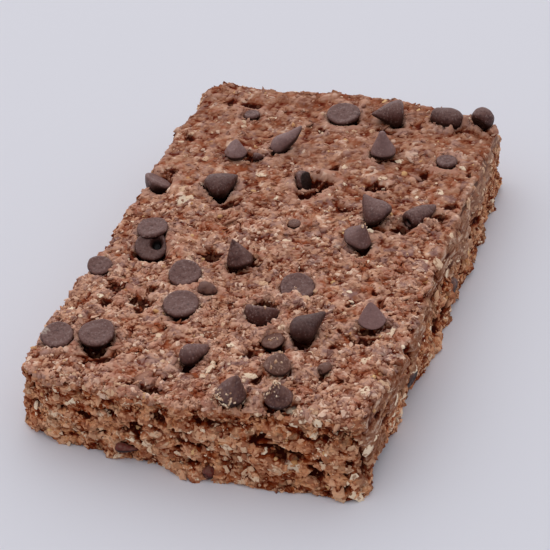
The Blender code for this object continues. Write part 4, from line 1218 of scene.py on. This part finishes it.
# ================= the whole bar =================
def make_bar():
    """The dough's skin and everything strewn on it."""
    materials = {
        "dough": dough_material(),
        "oat": bit_material("rolled_oat_flake", "#ffe7c8", "#dcb08c", 0.7),
        "nut": bit_material("roasted_nut_bit", "#ecbd82", "#c98c54", 0.55),
    }
    skin = dough_skin()
    attributes = {key: skin[key] for key in ("sunk", "cut_side", "floury", "smear", "pressed", "soft", "tint")}
    # Painted shade between the loose crumbs.
    attributes["sunk"] = np.clip(skin["sunk"] + SHADE_UNDER_CRUMBS * skin["crumbly"] * skin["live"], -1.0, 1.0)
    body = make_piece("dough", skin["points"], [skin["quads"], skin["fan"]], materials["dough"], attributes)
    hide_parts("bar")
    side = skin["cut_side"]
    bare = (1.0 - 0.8 * skin["smear"]) * (1.0 - 0.9 * smoothstep(skin["depth"] / 0.8))
    crumbly = (0.04 + skin["crumbly"] ** 1.3) * bare
    near_top = skin["weights"]["top"] * (1.0 - 0.92 * skin["far"]) * (1.0 - 0.6 * skin["pressed"])
    # Where on the dough the bits of each heap are likely to fall.
    chances = {
        "fine": crumbly,
        "middling": crumbly * (1.0 - 0.2 * side),
        "shore of the chips": skin["shore"],
        "near top": near_top * bare,
        "large": crumbly * (1.0 - 0.5 * side),
        "shards": bare * (0.06 + side),
        "flakes": bare * side * smoothstep((0.35 - skin["sunk"]) / 0.4),
        "flecks": bare * (1.0 - 0.6 * side) * (1.0 - 0.6 * skin["soft"]),
        "nuts": bare * (0.6 + 0.6 * side),
    }
    shapes = {"pebble": pebble_shape(), "flake": flake_shape()}
    rng = np.random.default_rng(5)
    for name, heaps, shape, dents, material, shade, smooth in BIT_PIECES:
        groups = [scattered(skin, rng, chances[heap], *HEAPS[heap]) for heap in heaps]
        if name in PLACED_BITS:
            groups.append(placed(skin, *PLACED_BITS[name]))
        if name == "oat_crumbs":
            groups.append(strewn_on_chips(skin, rng))
        bits_piece(name, groups, shapes[shape], dents, skin, rng, materials[material], shade, smooth)
    make_chips(chocolate_material())


def make_stage():
    """Floor, soft key light from behind on the left and pale surroundings."""
    mesh = bpy.data.meshes.new("floor")
    corners = [(FLOOR_REACH * x, FLOOR_REACH * y, 0.0) for x, y in ((-1, -1), (1, -1), (1, 1), (-1, 1))]
    mesh.from_pydata(corners, [], [(0, 1, 2, 3)])
    mesh.materials.append(floor_material())
    floor = bpy.data.objects.new("floor", mesh)
    bpy.context.scene.collection.objects.link(floor)
    make_surroundings()
    add_light("key", *KEY_LIGHT)


def make_surroundings():
    """Pale studio walls, brightest behind the bar and above it, and dimmer on the camera's side."""
    world = bpy.data.worlds.new("studio")
    world.use_nodes = True
    tree = world.node_tree
    place = add(tree, "TexCoord", out="Generated")
    facing = add(tree, "VectorMath", {0: place, 1: BRIGHT_SIDE}, "Value", operation="DOT_PRODUCT")
    level = add(tree, "MapRange", {0: facing, 1: -0.8, 2: 1.0, 3: DIM_WALL, 4: BRIGHT_WALL})
    background = tree.nodes["Background"]
    background.inputs["Color"].default_value = linear("#f0f1f6")
    tree.links.new(level, background.inputs["Strength"])
    bpy.context.scene.world = world


def add_light(name, place, size, power):
    """A square soft light that faces the bar."""
    lamp = bpy.data.lights.new(name, "AREA")
    lamp.size = size
    lamp.energy = power
    light = bpy.data.objects.new(name, lamp)
    away = unit(np.array(place))
    side = unit(np.cross((0.0, 0.0, 1.0), away))
    set_matrix(light, side, np.cross(away, side), away, place)
    bpy.context.scene.collection.objects.link(light)


def set_matrix(obj, right, up, back, place):
    """Point an object that looks along its own -Z."""
    rows = [(right[k], up[k], back[k], place[k]) for k in range(3)]
    obj.matrix_world = Matrix(rows + [(0.0, 0.0, 0.0, 1.0)])


def make_camera():
    """The photograph's viewpoint, from the bar's own corners."""
    yaw, pitch, roll = (math.radians(a) for a in (CAMERA_YAW, CAMERA_PITCH, CAMERA_ROLL))
    back = np.array((math.sin(yaw) * math.cos(pitch), -math.cos(yaw) * math.cos(pitch), math.sin(pitch)))
    level = np.array((math.cos(yaw), math.sin(yaw), 0.0))
    upright = np.cross(back, level)
    right = math.cos(roll) * level + math.sin(roll) * upright
    up = math.cos(roll) * upright - math.sin(roll) * level
    lens = bpy.data.cameras.new("view")
    lens.lens = CAMERA_LENS
    lens.sensor_width = FILM_WIDTH
    lens.clip_start = 0.01
    camera = bpy.data.objects.new("view", lens)
    set_matrix(camera, right, up, back, (np.array(CAMERA_PLACE) + CENTRE_SHIFT) * METRE)
    bpy.context.scene.collection.objects.link(camera)
    bpy.context.scene.camera = camera


make_camera()
make_stage()
make_bar()
bpy.context.scene.view_settings.view_transform = "Standard"
